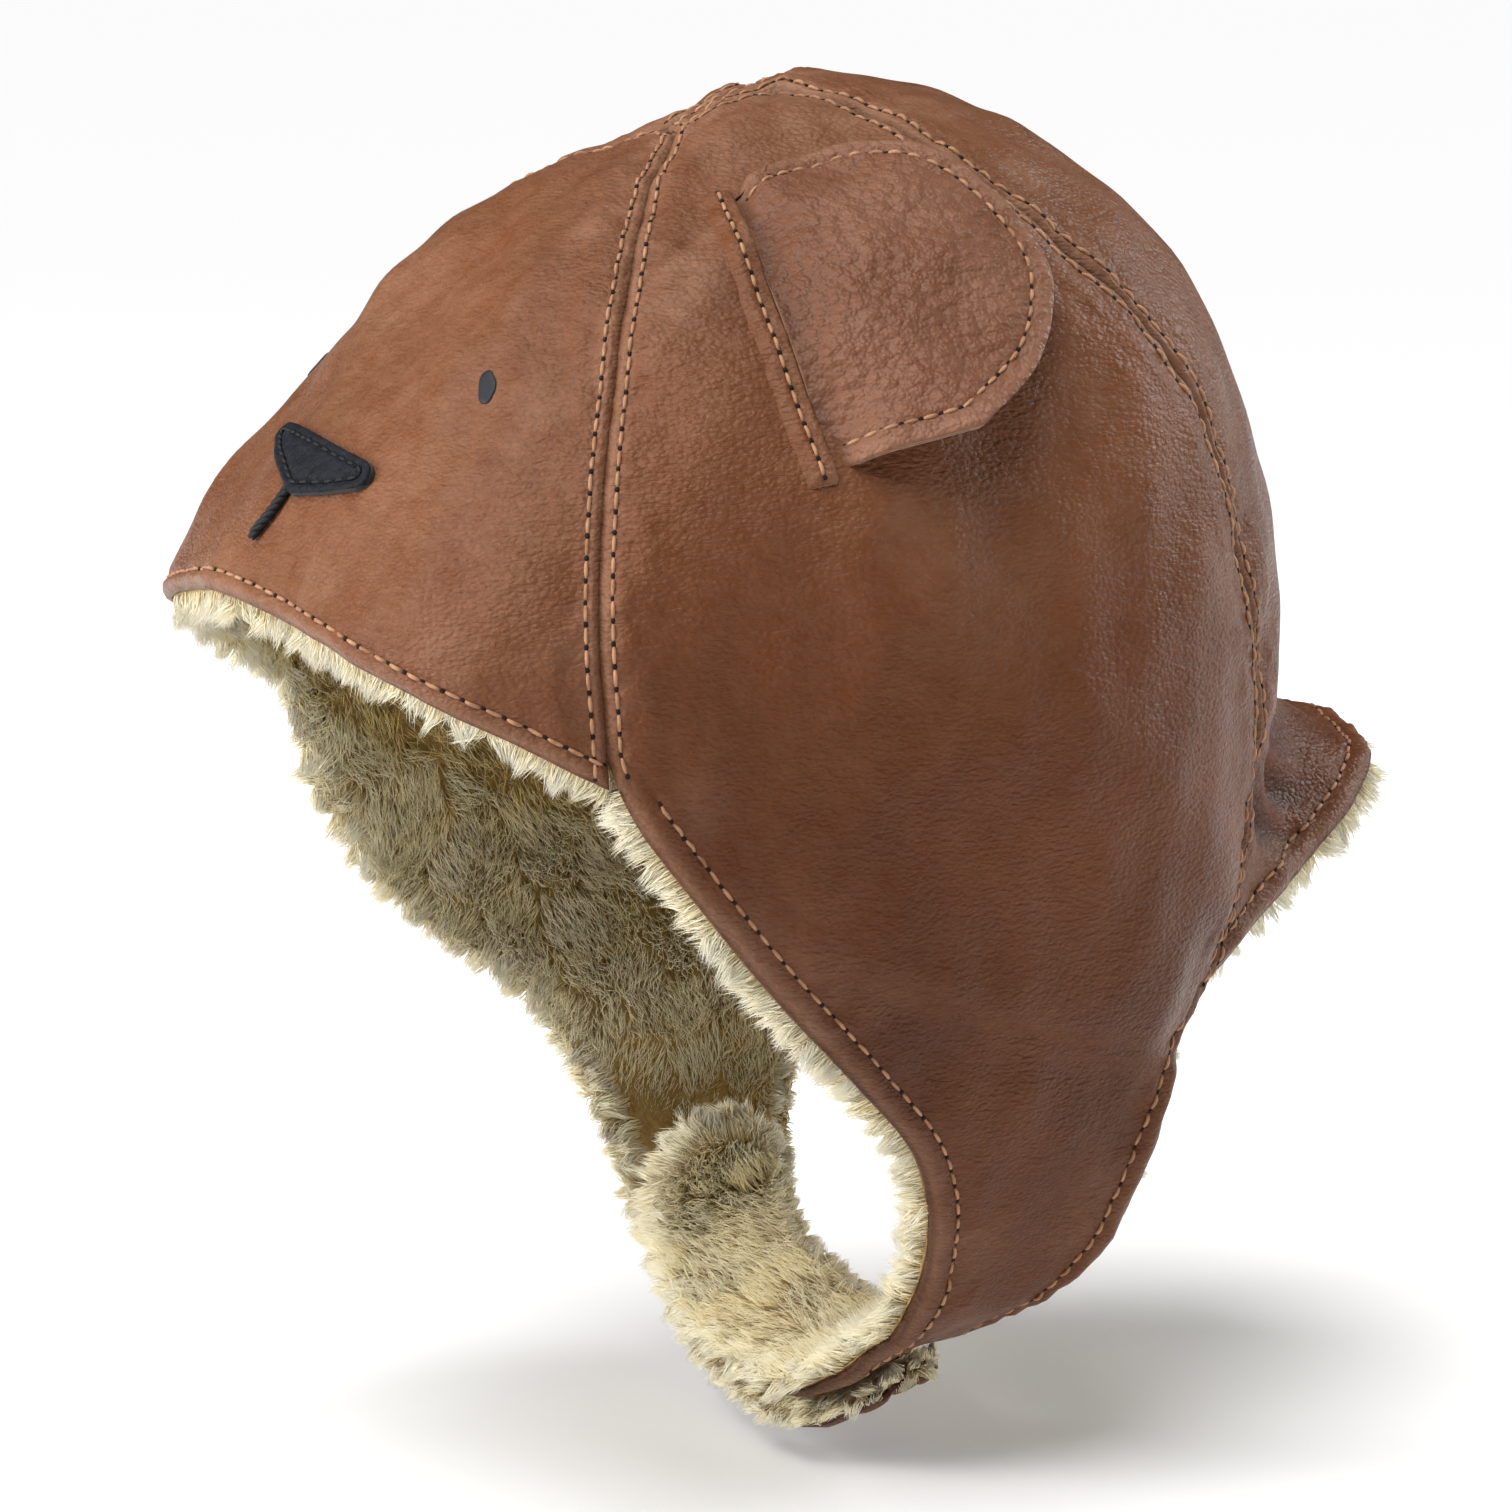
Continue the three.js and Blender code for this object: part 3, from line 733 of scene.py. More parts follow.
def eyelets(centres, normals, ways):
    """Small needle holes, dark with the painted shade inside them: closed double cones, longer along the
    row.
    """
    count, sides = len(centres), HOLE["sides"]
    across = np.cross(normals, ways)
    turn = np.linspace(0, 2 * math.pi, sides, endpoint=False)
    rim = ways[:, None] * np.cos(turn)[:, None] * HOLE["long"] + across[:, None] * np.sin(turn)[:, None]
    rim = centres[:, None] + rim * HOLE["radius"] + normals[:, None] * HOLE["rim"]
    tips = np.stack([centres + normals * HOLE["high"], centres + normals * HOLE["low"]], axis=1)
    points = np.concatenate([rim, tips], axis=1).reshape(-1, 3)
    base = np.arange(count)[:, None] * (sides + 2)
    a, b = base + np.arange(sides), base + (np.arange(sides) + 1) % sides
    top = np.stack([a, b, np.broadcast_to(base + sides, a.shape)], -1)
    bottom = np.stack([b, a, np.broadcast_to(base + sides + 1, a.shape)], -1)
    return points, np.concatenate([top, bottom]).reshape(-1, 3)


def row_beside(panel, side, distance, start, end, samples=160):
    """A row of points a distance inside an edge: 0 is s = 0, 1 is s = 1, 2 is t = 0 and 3 is t = t_end."""
    run = np.linspace(start, end, samples)
    s, t = panel.inside(side, run, np.full_like(run, distance))
    return panel.point(s, t, ROW_LIFT), panel.outward(s, t)


# ---- fleece ----
def scatter(panel, count, rng, t_span):
    """count places (s, t), even over the sheet's area."""
    cells_s, cells_t = SCATTER_CELLS
    s = (np.arange(cells_s) + 0.5) / cells_s
    t = mix(t_span[0], t_span[1], (np.arange(cells_t) + 0.5) / cells_t)
    grid_s, grid_t = np.meshgrid(s, t)
    area = np.linalg.norm(panel.cross(grid_s, grid_t), axis=-1).ravel()
    pick = rng.choice(area.size, count, p=area / area.sum())
    jitter = rng.uniform(-0.5, 0.5, (2, count))
    return (grid_s.ravel()[pick] + jitter[0] / cells_s,
            grid_t.ravel()[pick] + jitter[1] * (t_span[1] - t_span[0]) / cells_t)


def cell_noise(cell, salt):
    """Three fixed numbers from -0.5 to 0.5 for each whole-number cell."""
    key = cell @ np.array([127.1, 311.7, 74.7]) + salt * 17.3
    wave = np.sin(key[..., None] + np.array([0.0, 1.7, 4.1])) * 43758.5453
    return wave - np.floor(wave) - 0.5


def nearest_clump(p, size):
    """For each point the middle of its tuft, and the tuft's own three numbers."""
    home = np.floor(p / size)
    best, middle, own = np.full(len(p), 1e9), p.copy(), np.zeros_like(p)
    for shift in np.ndindex(3, 3, 3):
        cell = home + np.array(shift) - 1
        centre = (cell + 0.5 + 0.9 * cell_noise(cell, 1)) * size
        far = np.linalg.norm(p - centre, axis=1)
        closer = far < best
        best = np.where(closer, far, best)
        middle = np.where(closer[:, None], centre, middle)
        own = np.where(closer[:, None], cell_noise(cell, 2), own)
    return middle, own


def pile(name, roots, way, length, look, rng, clump):
    """Fleece strands, each a thin three-sided spike with a bend, drawn together into tufts."""
    count = len(roots)
    length = np.broadcast_to(length, (count,)) * rng.uniform(STRAND["shortest"], STRAND["longest"], count)
    middle, own = nearest_clump(roots, clump["size"])
    pull, lean = clump["pull"], clump["lean"]
    leaning = unit(way + lean * 2 * own + CLUMP["stray"] * rng.normal(size=(count, 3)))
    to_middle = middle - roots
    to_middle = to_middle - way * np.sum(to_middle * way, -1, keepdims=True)
    tuft = unit(way + lean * 2 * own)
    tip = roots + length[:, None] * mix(leaning, tuft, pull) + pull * to_middle
    bend = roots + 0.5 * length[:, None] * unit(way + 0.25 * (leaning - way)) + 0.3 * pull * to_middle
    bend = bend + rng.normal(size=(count, 3)) * STRAND["bend"]
    side = unit(np.cross(tip - roots, rng.normal(size=(count, 3))))
    other = unit(np.cross(tip - roots, side))
    turn = np.array([0, 2, 4]) * math.pi / 3
    ring = side[:, None] * np.cos(turn)[:, None] + other[:, None] * np.sin(turn)[:, None]
    low = roots[:, None] + ring * STRAND["root"] / 2
    mid = bend[:, None] + ring * STRAND["middle"] / 2
    points = np.concatenate([low, mid, tip[:, None]], axis=1)
    base = np.arange(count)[:, None] * 7
    a, b = np.arange(3), (np.arange(3) + 1) % 3
    quads = np.stack([base + a, base + b, base + b + 3, base + a + 3], -1).reshape(-1, 4)
    tips = np.stack([base + a + 3, base + b + 3, np.broadcast_to(base + 6, (count, 3))], -1)
    tips = tips.reshape(-1, 3)
    tint = 0.5 + 0.5 * own[:, 0] + 0.16 * rng.normal(size=count)
    floats = {"height": np.tile([0, 0, 0, 0.5, 0.5, 0.5, 1.0], count), "tint": np.repeat(tint, 7)}
    return mesh_object(name, points, [quads, tips], [look], floats, keep_rest=False)


# ---- materials ----
def linear(red, green, blue):
    """A colour from its everyday 0 to 255 values."""
    def one(c):
        c = c / 255
        return c / 12.92 if c <= 0.04045 else ((c + 0.055) / 1.055) ** 2.4
    return one(red), one(green), one(blue), 1.0


class Nodes:
    """Short ways to make and join the nodes of one material."""

    def __init__(self, name):
        self.material = bpy.data.materials.new(name)
        self.material.use_nodes = True
        self.tree = self.material.node_tree
        self.tree.nodes.clear()
        self.shader = self.tree.nodes.new("ShaderNodeBsdfPrincipled")
        output = self.tree.nodes.new("ShaderNodeOutputMaterial")
        self.join(self.shader.outputs["BSDF"], output.inputs["Surface"])

    def join(self, out, into):
        self.tree.links.new(out, into)

    def set(self, **values):
        for key, value in values.items():
            self.shader.inputs[key.replace("_", " ")].default_value = value

    def feed(self, into, value):
        if isinstance(value, bpy.types.NodeSocket):
            self.join(value, into)
        else:
            into.default_value = value

    def attribute(self, name, output="Fac"):
        node = self.tree.nodes.new("ShaderNodeAttribute")
        node.attribute_name = name
        return node.outputs[output]

    def noise(self, vector, scale, detail, roughness=0.55, distortion=0.0):
        node = self.tree.nodes.new("ShaderNodeTexNoise")
        self.join(vector, node.inputs["Vector"])
        for key, value in (("Scale", scale), ("Detail", detail), ("Roughness", roughness),
                           ("Distortion", distortion)):
            node.inputs[key].default_value = value
        return node.outputs["Fac"]

    def cells(self, vector, scale):
        node = self.tree.nodes.new("ShaderNodeTexVoronoi")
        self.join(vector, node.inputs["Vector"])
        node.inputs["Scale"].default_value = scale
        return node.outputs["Distance"]

    def stretch(self, vector, scale):
        node = self.tree.nodes.new("ShaderNodeMapping")
        self.join(vector, node.inputs["Vector"])
        node.inputs["Scale"].default_value = scale
        return node.outputs["Vector"]

    def math(self, operation, a, b):
        node = self.tree.nodes.new("ShaderNodeMath")
        node.operation = operation
        self.feed(node.inputs[0], a)
        self.feed(node.inputs[1], b)
        return node.outputs[0]

    def range(self, value, low, high, to_low=0.0, to_high=1.0):
        node = self.tree.nodes.new("ShaderNodeMapRange")
        self.feed(node.inputs["Value"], value)
        for key, number in (("From Min", low), ("From Max", high), ("To Min", to_low), ("To Max", to_high)):
            node.inputs[key].default_value = number
        return node.outputs["Result"]

    def blend(self, share, a, b, kind="MIX"):
        node = self.tree.nodes.new("ShaderNodeMix")
        node.data_type = "RGBA"
        node.blend_type = kind
        self.feed(node.inputs["Factor"], share)
        self.feed(node.inputs[6], a)
        self.feed(node.inputs[7], b)
        return node.outputs[2]

    def grey(self, value):
        node = self.tree.nodes.new("ShaderNodeCombineColor")
        for key in ("Red", "Green", "Blue"):
            self.join(value, node.inputs[key])
        return node.outputs["Color"]

    def bump(self, height, depth_mm, below=None):
        node = self.tree.nodes.new("ShaderNodeBump")
        node.inputs["Distance"].default_value = depth_mm * MM
        self.join(height, node.inputs["Height"])
        if below is not None:
            self.join(below, node.inputs["Normal"])
        return node.outputs["Normal"]


def leather(name, dark, base, light, rough, pebbled=False):
    """Full-grain leather: cloudy dye, fine creases that run round the body, pores, paler where worn and
    where light is painted on, darker with dirt and painted shade, and painted shade in the grooves of its
    grain.
    """
    n = Nodes(name)
    rest = n.attribute("rest", "Vector")
    clouds = n.range(n.noise(rest, *CLOUDS), *MIDDLE)
    mottle = n.range(n.noise(rest, *MOTTLE), *MIDDLE)
    pores = n.noise(rest, *PORES)
    colour = n.blend(clouds, linear(*dark), linear(*base))
    colour = n.blend(n.math("MULTIPLY", mottle, MOTTLE_SHARE), colour, linear(*light))
    # paler where worn and where light is painted on towards the top
    rubbed_and_top_lit = n.math("MULTIPLY", n.attribute("wear_and_top_light"), n.range(mottle, 0.0, 1.0, 0.45, 1.0))
    colour = n.blend(rubbed_and_top_lit, colour, linear(*light))
    grain = pebbles(n, rest) if pebbled else creases(n, rest)
    # darker with dirt and painted shade
    soiled_and_shaded = n.range(n.attribute("soil_and_shade"), 0.0, 1.0, 1.0, SOIL_AND_SHADE_DARKEST)
    shade = n.math("MULTIPLY", n.range(grain, 0.0, 1.0, *GROOVE_SHADE), soiled_and_shaded)
    colour = n.blend(1.0, colour, n.grey(shade), "MULTIPLY")
    n.join(colour, n.shader.inputs["Base Color"])
    gloss = n.math("ADD", n.math("MULTIPLY", mottle, 0.6), n.math("MULTIPLY", pores, 0.4))
    n.join(n.range(gloss, 0.2, 0.8, *rough), n.shader.inputs["Roughness"])
    normal = n.bump(grain, PEBBLE_DEPTH if pebbled else CREASE_DEPTH)
    normal = n.bump(n.noise(rest, *TOOTH), TOOTH_DEPTH, normal)
    n.join(n.bump(pores, PORE_DEPTH, normal), n.shader.inputs["Normal"])
    n.set(Specular_IOR_Level=LEATHER_SHINE)
    return n.material


def pebbles(n, rest):
    """Tumbled grain: rounded cells of two sizes, 1 on their tops."""
    large = n.range(n.cells(n.stretch(rest, (0.42, 0.42, 0.55)), 1.0), 0.1, 0.8, 1.0, 0.0)
    small = n.range(n.cells(rest, 1.3), 0.1, 0.8, 1.0, 0.0)
    return n.math("ADD", n.math("MULTIPLY", large, 0.75), n.math("MULTIPLY", small, 0.25))


def creases(n, rest):
    """Small flat pebbles, a little longer round the body than down it, with fine wrinkles between."""
    small = n.range(n.cells(n.stretch(rest, (0.8, 0.8, 1.25)), 1.15), 0.15, 0.8, 1.0, 0.0)
    fine = n.range(n.noise(n.stretch(rest, (0.3, 0.3, 0.9)), *WRINKLES), *MIDDLE)
    return n.math("ADD", n.math("MULTIPLY", small, 0.45), n.math("MULTIPLY", fine, 0.55))


def rough_cloth(name, dark, light, pattern, depth, **settings):
    """A dull surface mottled from dark to light by one noise pattern, which also stands up depth mm."""
    n = Nodes(name)
    tufts = n.noise(n.attribute("rest", "Vector"), *pattern)
    n.join(n.blend(n.range(tufts, *MIDDLE), linear(*dark), linear(*light)), n.shader.inputs["Base Color"])
    n.join(n.bump(tufts, depth), n.shader.inputs["Normal"])
    n.set(**settings)
    return n.material


def suede(name, dark, light):
    """The raw, fibrous cut edge and back of the leather."""
    return rough_cloth(name, dark, light, (1.8, 5, 0.7), 0.5, Roughness=0.9, Specular_IOR_Level=0.2,
                       Sheen_Weight=0.25)


def backing(name, dark, light):
    """The dense under-fur that the strands stand in."""
    return rough_cloth(name, dark, light, (0.5, 5, 0.7, 0.5), 1.5, Roughness=0.95, Specular_IOR_Level=0.1,
                       Sheen_Weight=0.3)


def thread(name, dark, light):
    """Waxed sewing thread with a fine twist."""
    n = Nodes(name)
    rest = n.attribute("rest", "Vector")
    patches = n.range(n.noise(rest, 0.4, 2), *MIDDLE)
    n.join(n.blend(patches, linear(*dark), linear(*light)), n.shader.inputs["Base Color"])
    twist = n.noise(n.stretch(rest, (1.0, 1.0, 2.0)), 3.5, 2)
    n.join(n.bump(twist, 0.12), n.shader.inputs["Normal"])
    n.set(Roughness=0.55, Specular_IOR_Level=0.35)
    return n.material


def plain(name, dark, rough, light=None, depth=0.1, scale=2.0):
    """A dull surface with a fine tooth, for needle holes, paint and tape."""
    n = Nodes(name)
    tooth = n.noise(n.attribute("rest", "Vector"), scale, 4, 0.6)
    n.join(n.blend(tooth, linear(*dark), linear(*(light or dark))), n.shader.inputs["Base Color"])
    n.join(n.bump(tooth, depth), n.shader.inputs["Normal"])
    n.set(Roughness=rough, Specular_IOR_Level=0.3)
    return n.material


def fleece(name, root, tip, tinted):
    """Strands painted darker at the root than at the tip, as painted shade deep in the pile, each tuft a
    little different.
    """
    n = Nodes(name)
    height, tint = n.attribute("height"), n.attribute("tint")
    pale = n.blend(n.range(tint, 0.1, 0.9), linear(*tinted), linear(*tip))
    # painted shade: the root colour darkens each strand towards its root
    n.join(n.blend(n.range(height, 0.0, 0.6), linear(*root), pale), n.shader.inputs["Base Color"])
    n.set(Roughness=0.75, Specular_IOR_Level=0.25, Sheen_Weight=0.3, Sheen_Roughness=0.5)
    return n.material


LOOKS = {
    "brown": leather("brown_leather", (94, 49, 21), (113, 63, 32), (154, 113, 88), (0.28, 0.42)),
    "ear": leather("ear_leather", (112, 71, 50), (130, 87, 65), (160, 119, 96), (0.3, 0.42), True),
    "edge": suede("raw_leather_edge", (118, 74, 46), (172, 122, 84)),
    "black": leather("black_leather", (15, 16, 20), (25, 26, 32), (48, 49, 58), (0.5, 0.7), True),
    "black_edge": suede("black_leather_edge", (9, 10, 13), (26, 27, 33)),
    "thread": thread("tan_thread", (146, 102, 72), (188, 142, 108)),
    "black_thread": thread("black_thread", (8, 8, 11), (24, 24, 30)),
    # needle holes: dark cones painted with the shade that falls inside each hole
    "hole": plain("painted_shade_needle_hole", (36, 20, 13), 0.95),
    "black_hole": plain("black_painted_shade_needle_hole", (6, 6, 8), 0.95),
    "eye": plain("painted_eye", (16, 17, 22), 0.5, (38, 40, 48), 0.06, 3.0),
    # one fleece in different light: rim and strap are its pale lit colour, and the pile inside the crown is
    # a darker, more saturated copy painted with the shade deep inside the bonnet
    "rim": fleece("fleece_rim", (212, 184, 122), (253, 247, 225), (245, 232, 192)),
    "strap_fleece": fleece("fleece_strap", (196, 158, 92), (251, 243, 214), (238, 220, 168)),
    "fleece": fleece("fleece_pile", (174, 130, 54), (247, 233, 186), (228, 202, 126)),
    "backing": backing("fleece_backing", (150, 110, 48), (204, 172, 100)),
    "tape": plain("tape_cloth", (44, 31, 24), 0.85, (66, 48, 38), 0.15, 1.2),
    "hooks": plain("tape_hooks", (60, 44, 36), 0.4, (84, 64, 52)),
    "loops": fleece("tape_loops", (40, 28, 22), (92, 70, 56), (70, 52, 42)),
}
TAN_SEWING = [LOOKS["thread"], LOOKS["hole"]]
BLACK_SEWING = [LOOKS["black_thread"], LOOKS["black_hole"]]
TAN_LEATHER = [LOOKS["brown"], LOOKS["edge"]]


# ---- the crown's pieces ----
def settle(obj, side=None, nodes=()):
    """Hides the nodes that the piece stands for. A piece with no side rides on the crown; a side's piece
    stays in place, its transform baked into its mesh."""
    if nodes:
        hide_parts(*nodes)
    if side is None:
        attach(obj, "crown")
        return obj
    start, end = (HINGE + unit(FOLD_WAY) * d for d in FOLD_BAND)
    if side == "right":
        start, end = mirror(start), mirror(end)
    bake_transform(obj)
    return obj


def flat_cut(panel, rows=slice(None)):
    """(width, length) of the cut piece, and its area, in metres. rows says where its width is taken."""
    s, t = np.meshgrid(np.linspace(0, 1, 40), np.linspace(0, panel.t_end, 80))
    p = panel.surface(s, t)
    widths = np.linalg.norm(np.diff(p, axis=1), axis=-1).sum(1)
    lengths = np.linalg.norm(np.diff(p, axis=0), axis=-1).sum(0)
    across, down = p[:-1, 1:] - p[:-1, :-1], p[1:, :-1] - p[:-1, :-1]
    area = np.linalg.norm(np.cross(across, down), axis=-1).sum()
    return (round(widths[rows].max() * MM, 4), round(lengths.max() * MM, 4)), round(area * MM * MM, 6)


def leather_wear_and_top_light(panel, s, t):
    """Where the leather is paler: worn at its edges and some swells, paler towards the brow, and painted
    light towards the top.
    """
    near = np.min(panel.distances(s, t), axis=0)
    p = panel.surface(s, t)
    return (WEAR_AND_TOP_LIGHT["edge"] * bell(near, 1.2, 1.6) + WEAR_AND_TOP_LIGHT["swell"] * step(0.6, 1.9, waves(p, 60.0, 31))
            + WEAR_AND_TOP_LIGHT["rim"] * bell(near, 9.0, 6.0) * step(0.2, 1.6, waves(p, 26.0, 32))
            # painted light: the top term pales the leather higher up, as if lit from above; the brow term
            # is paler towards the front
            + WEAR_AND_TOP_LIGHT["top"] * step(-15, 70, p[..., 2]) + WEAR_AND_TOP_LIGHT["brow"] * step(-55, -85, p[..., 1]))


def leather_soil_and_shade(panel, s, t):
    """Where the leather is darker: painted shade in its sunk cut edges, on the lower parts and in the deep
    folds, and dirt in some patches.
    """
    near = np.min(panel.distances(s, t), axis=0)
    p = panel.surface(s, t)
    # painted shade: dark where the edges sink and roll under, and darker lower down, as if lit from above
    return (SOIL_AND_SHADE["edge"] * bell(near, 0.0, 0.7) + SOIL_AND_SHADE["low"] * step(20, -70, p[..., 2])
            + SOIL_AND_SHADE["patch"] * step(0.3, 1.8, waves(p, 38.0, 33))
            # painted shade in the creases of the folds
            + SOIL_AND_SHADE["fold"] * step(0.6, 2.8, -panel.extra(s, t)))


def leather_sheet(name, panel, nodes, side=None):
    """One cut piece of leather, with its rolled edges, sunk seams and swells."""
    s, t = panel.grid(LEATHER_START, LEATHER_SPACING)
    relief = panel.relief(s, t)
    outer = panel.point(s, t, relief, share=0)
    inner = panel.point(s, t, INNER_SHARE * relief - LEATHER, share=0)
    marks = {"wear_and_top_light": leather_wear_and_top_light(panel, s, t), "soil_and_shade": leather_soil_and_shade(panel, s, t)}
    obj = shell(name, outer, inner, TAN_LEATHER, marks, inner_look=1)
    return settle(obj, side, nodes)


def strap_share(panel, t):
    """How much the fleece is pressed thin where the right strap lies over the left one."""
    return step(*DROP_SPAN, t - 1) if panel.mirrored else np.zeros(np.shape(t))


def fleece_depth(panel, s, t):
    """The lining's whole depth, pinched thin along its edges."""
    loose = LINING * (PINCHED + (1 - PINCHED) * np.sqrt(np.clip(hump(s), 0, 1)))
    return mix(loose, STRAP_LINING, strap_share(panel, t))


def fleece_backing(name, panel, nodes, side=None):
    """The lumpy ground of one piece of lining, under its strands."""
    s, t = panel.grid(FLEECE_START, FLEECE_SPACING)
    near = np.min(panel.distances(s, t), axis=0)
    under = -LEATHER - GAP
    p = panel.surface(s, t)
    lumps = sum(high * waves(p, *how) for high, *how in LUMPS) * (1 - strap_share(panel, t))
    rounded = np.sqrt(np.clip(near / 4.0, 0.02, 1.0))
    thick = np.maximum(0.8, BASE_SHARE * fleece_depth(panel, s, t) + lumps) * rounded
    relief = INNER_SHARE * panel.relief(s, t)
    outer = panel.point(s, t, offset=under + relief, share=0)
    inner = panel.point(s, t, offset=under + relief - thick, share=0)
    obj = shell(name, outer, inner, [LOOKS["backing"]])
    return settle(obj, side, nodes)


def fleece_pile(name, panel, seed, t_span, side=None, look="fleece"):
    """The standing pile on the inside of one panel."""
    rng = np.random.default_rng(seed)
    s, t = scatter(panel, STRANDS, rng, t_span)
    depth = LEATHER + GAP + 0.35 * BASE_SHARE * fleece_depth(panel, s, t)
    roots = panel.point(s, t, -depth, share=INNER_SHARE)
    inward = -panel.outward(s, t)
    pressed = strap_share(panel, t)
    way = unit(inward * (1 - 0.6 * pressed)[:, None] + np.array(COMB) * (1 + 0.5 * pressed)[:, None])
    length = mix(PILE, STRAP_PILE, pressed) * mix(0.75, 1.0, np.sqrt(np.clip(hump(s), 0, 1)))
    obj = pile(name, roots, way, length, LOOKS[look], rng, CLUMP)
    return settle(obj, side)


def fringe(name, panel, edge, count, seed, span, side=None, length=8.0):
    """Fleece that shows past a hem: strands rooted just inside it that point out past the leather."""
    rng = np.random.default_rng(seed)
    run = rng.uniform(*span, count)
    back = rng.uniform(FRINGE["from"], FRINGE["to"], count)
    s, t = panel.inside(edge, run, back)
    s_in, t_in = panel.inside(edge, run, back + 1)
    pressed = strap_share(panel, t)
    depth = LEATHER + GAP + rng.uniform(0.2, 1.0, count) * (0.75 * fleece_depth(panel, s, t) - 0.6)
    past = unit(panel.point(s, t, -depth, share=0) - panel.point(s_in, t_in, -depth, share=0))
    roots = panel.point(s, t, -depth, share=INNER_SHARE)
    inward = -panel.outward(s, t)
    way = unit(past + inward * mix(FRINGE["tuck"], 0.1, pressed)[:, None])
    reach = (length * FRINGE["share"] + FRINGE["slant"] * back) * mix(1.0, 0.8, pressed)
    obj = pile(name, roots, way, reach, LOOKS["rim"], rng, FRINGE_CLUMP)
    return settle(obj, side)


def smooth_line(points, reach):
    """The line with its corners rounded over reach samples each way."""
    window = np.hanning(2 * reach + 1)
    window /= window.sum()
    padded = np.vstack([np.repeat(points[:1], reach, 0), points, np.repeat(points[-1:], reach, 0)])
    return np.stack([np.convolve(padded[:, k], window, "valid") for k in range(3)], axis=-1)


def panel_stitches(name, panel, rows, side=None):
    """The thread of one cut piece, from rows given as row_beside() takes them."""
    obj = stitches(name, [row_beside(panel, *row) for row in rows], TAN_SEWING)
    return settle(obj, side)


def seam_stitches():
    """Two rows beside every seam, one on each piece of leather, and one row inside every hem."""
    row, long_row = SEAM["row"], 300
    made = {
        "front": panel_stitches("stitching_front", FRONT, [
            (0, row, 0.02, 0.985), (1, row, 0.02, 0.985), (2, row, 0.1, 0.9),
            (3, HEM_ROW["brow"], 0.02, 0.98)]),
        "centre": panel_stitches("stitching_centre_back", CENTRE, [
            (0, row, 0.01, 0.985), (1, row, 0.01, 0.985), (2, row, 0.1, 0.9),
            (3, HEM_ROW["nape"], 0.03, 0.97)]),
    }
    for side, panel in SIDE.items():
        end = panel.t_end - 0.03
        made[side] = panel_stitches("stitching_side_" + side, panel, [
            (0, row, 0.02, 0.985), (1, row, 0.02, 0.985), (2, row, 0.12, 0.88),
            (0, HEM_ROW["cheek"], 1.02, end, long_row), (1, HEM_ROW["neck"], 1.03, end, long_row),
            (3, HEM_ROW["tip"], 0.28, 0.72)], side)
    return made


# ---- ears ----
ear_curve = Curve(EAR_OUTLINE)
ear_base = np.array(EAR_BASE, float)


def ear_surface(s, t):
    """An ear laid on the crown: s runs along its base and outline, t from its base out."""
    base = mix(ear_base[0], ear_base[1], np.asarray(s)[..., None])
    return on_body(mix(base, ear_curve.at(s), np.asarray(t)[..., None]))


def ear_stand(s, t):
    """How far the ear's lower face is off the crown: tucked into the slit at its base, standing off
    towards its lower edge, where it also curls up a little."""
    lower = EAR_STAND["lower"] * step(EAR_STAND["from"], 1, s)
    stand = EAR_REST + t * (EAR_STAND["all"] + lower) - pressed_in(ear_surface(s, t), EAR_PRESS)
    tucked = EAR_TUCK["deep"] * (1 - step(0, EAR_TUCK["over"], t))
    curled = bell(s, 1.0, EAR_CURL["width"]) * step(EAR_CURL["from"], EAR_CURL["to"], t)
    return stand - tucked + EAR_CURL["high"] * curled


def ear_swell(p):
    return EAR_SWELL["high"] * waves(p, EAR_SWELL["length"], EAR_SWELL["seed"])


def ear_layer(name, panel, low, node, side, look):
    """One of an ear's two layers of leather, low mm above the first one."""
    s, t = panel.grid(0.0, EAR_SPACING)
    stand = ear_stand(s, t) + low
    near = np.min(panel.distances(s, t), axis=0)
    p = panel.surface(s, t)
    relief = (-0.3 * bell(near, 0, 0.4) - 0.4 * bell(near, EAR_ROW, 0.6) + 0.25 * bell(near, 2.4, 1.8)
              + ear_swell(p) + 0.06 * waves(p, 4.0, 52))
    outer = panel.point(s, t, stand + EAR_LEATHER + relief, share=0)
    inner = panel.point(s, t, stand + 0.7 * ear_swell(p), share=0)
    wear_and_top_light = 0.5 * bell(near, 1.0, 1.4) + 0.25 * step(0.4, 1.8, waves(p, 24.0, 53))
    # painted shade: darker at the ear's base, where it goes into the slit under the lip
    soil_and_shade = 0.5 * bell(t, 0.0, 0.08)
    looks = [LOOKS[look], LOOKS["edge"]]
    obj = shell(name, outer, inner, looks, {"wear_and_top_light": wear_and_top_light, "soil_and_shade": soil_and_shade}, edge_look=1, inner_look=1)
    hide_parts(node)
    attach(obj, side + "_ear")
    return obj


def ear_row(panel):
    """One row of stitches round the ear, inside its outline, with rounded corners."""
    run = np.linspace(0, 1, 80)
    up, over, down = (np.stack(panel.inside(edge, run, np.full_like(run, EAR_ROW)), 1)
                      for edge in (0, 3, 1))
    rim_s, rim_t = over[:, 0], over[:, 1]
    up = up[(up[:, 1] > 0.1) & (up[:, 1] < np.interp(up[:, 0], rim_s, rim_t))]
    down = down[(down[:, 1] > 0.1) & (down[:, 1] < np.interp(down[:, 0], rim_s, rim_t))][::-1]
    over = over[(rim_s > up[-1, 0]) & (rim_s < down[0, 0])]
    line = np.vstack([up, over, down])
    s, t = line.T
    high = ear_stand(s, t) + 2 * EAR_LEATHER + GAP - 0.2
    points = panel.point(s, t, high + ear_swell(panel.surface(s, t)), share=0)
    return smooth_line(points, 3), smooth_line(panel.outward(s, t), 3)


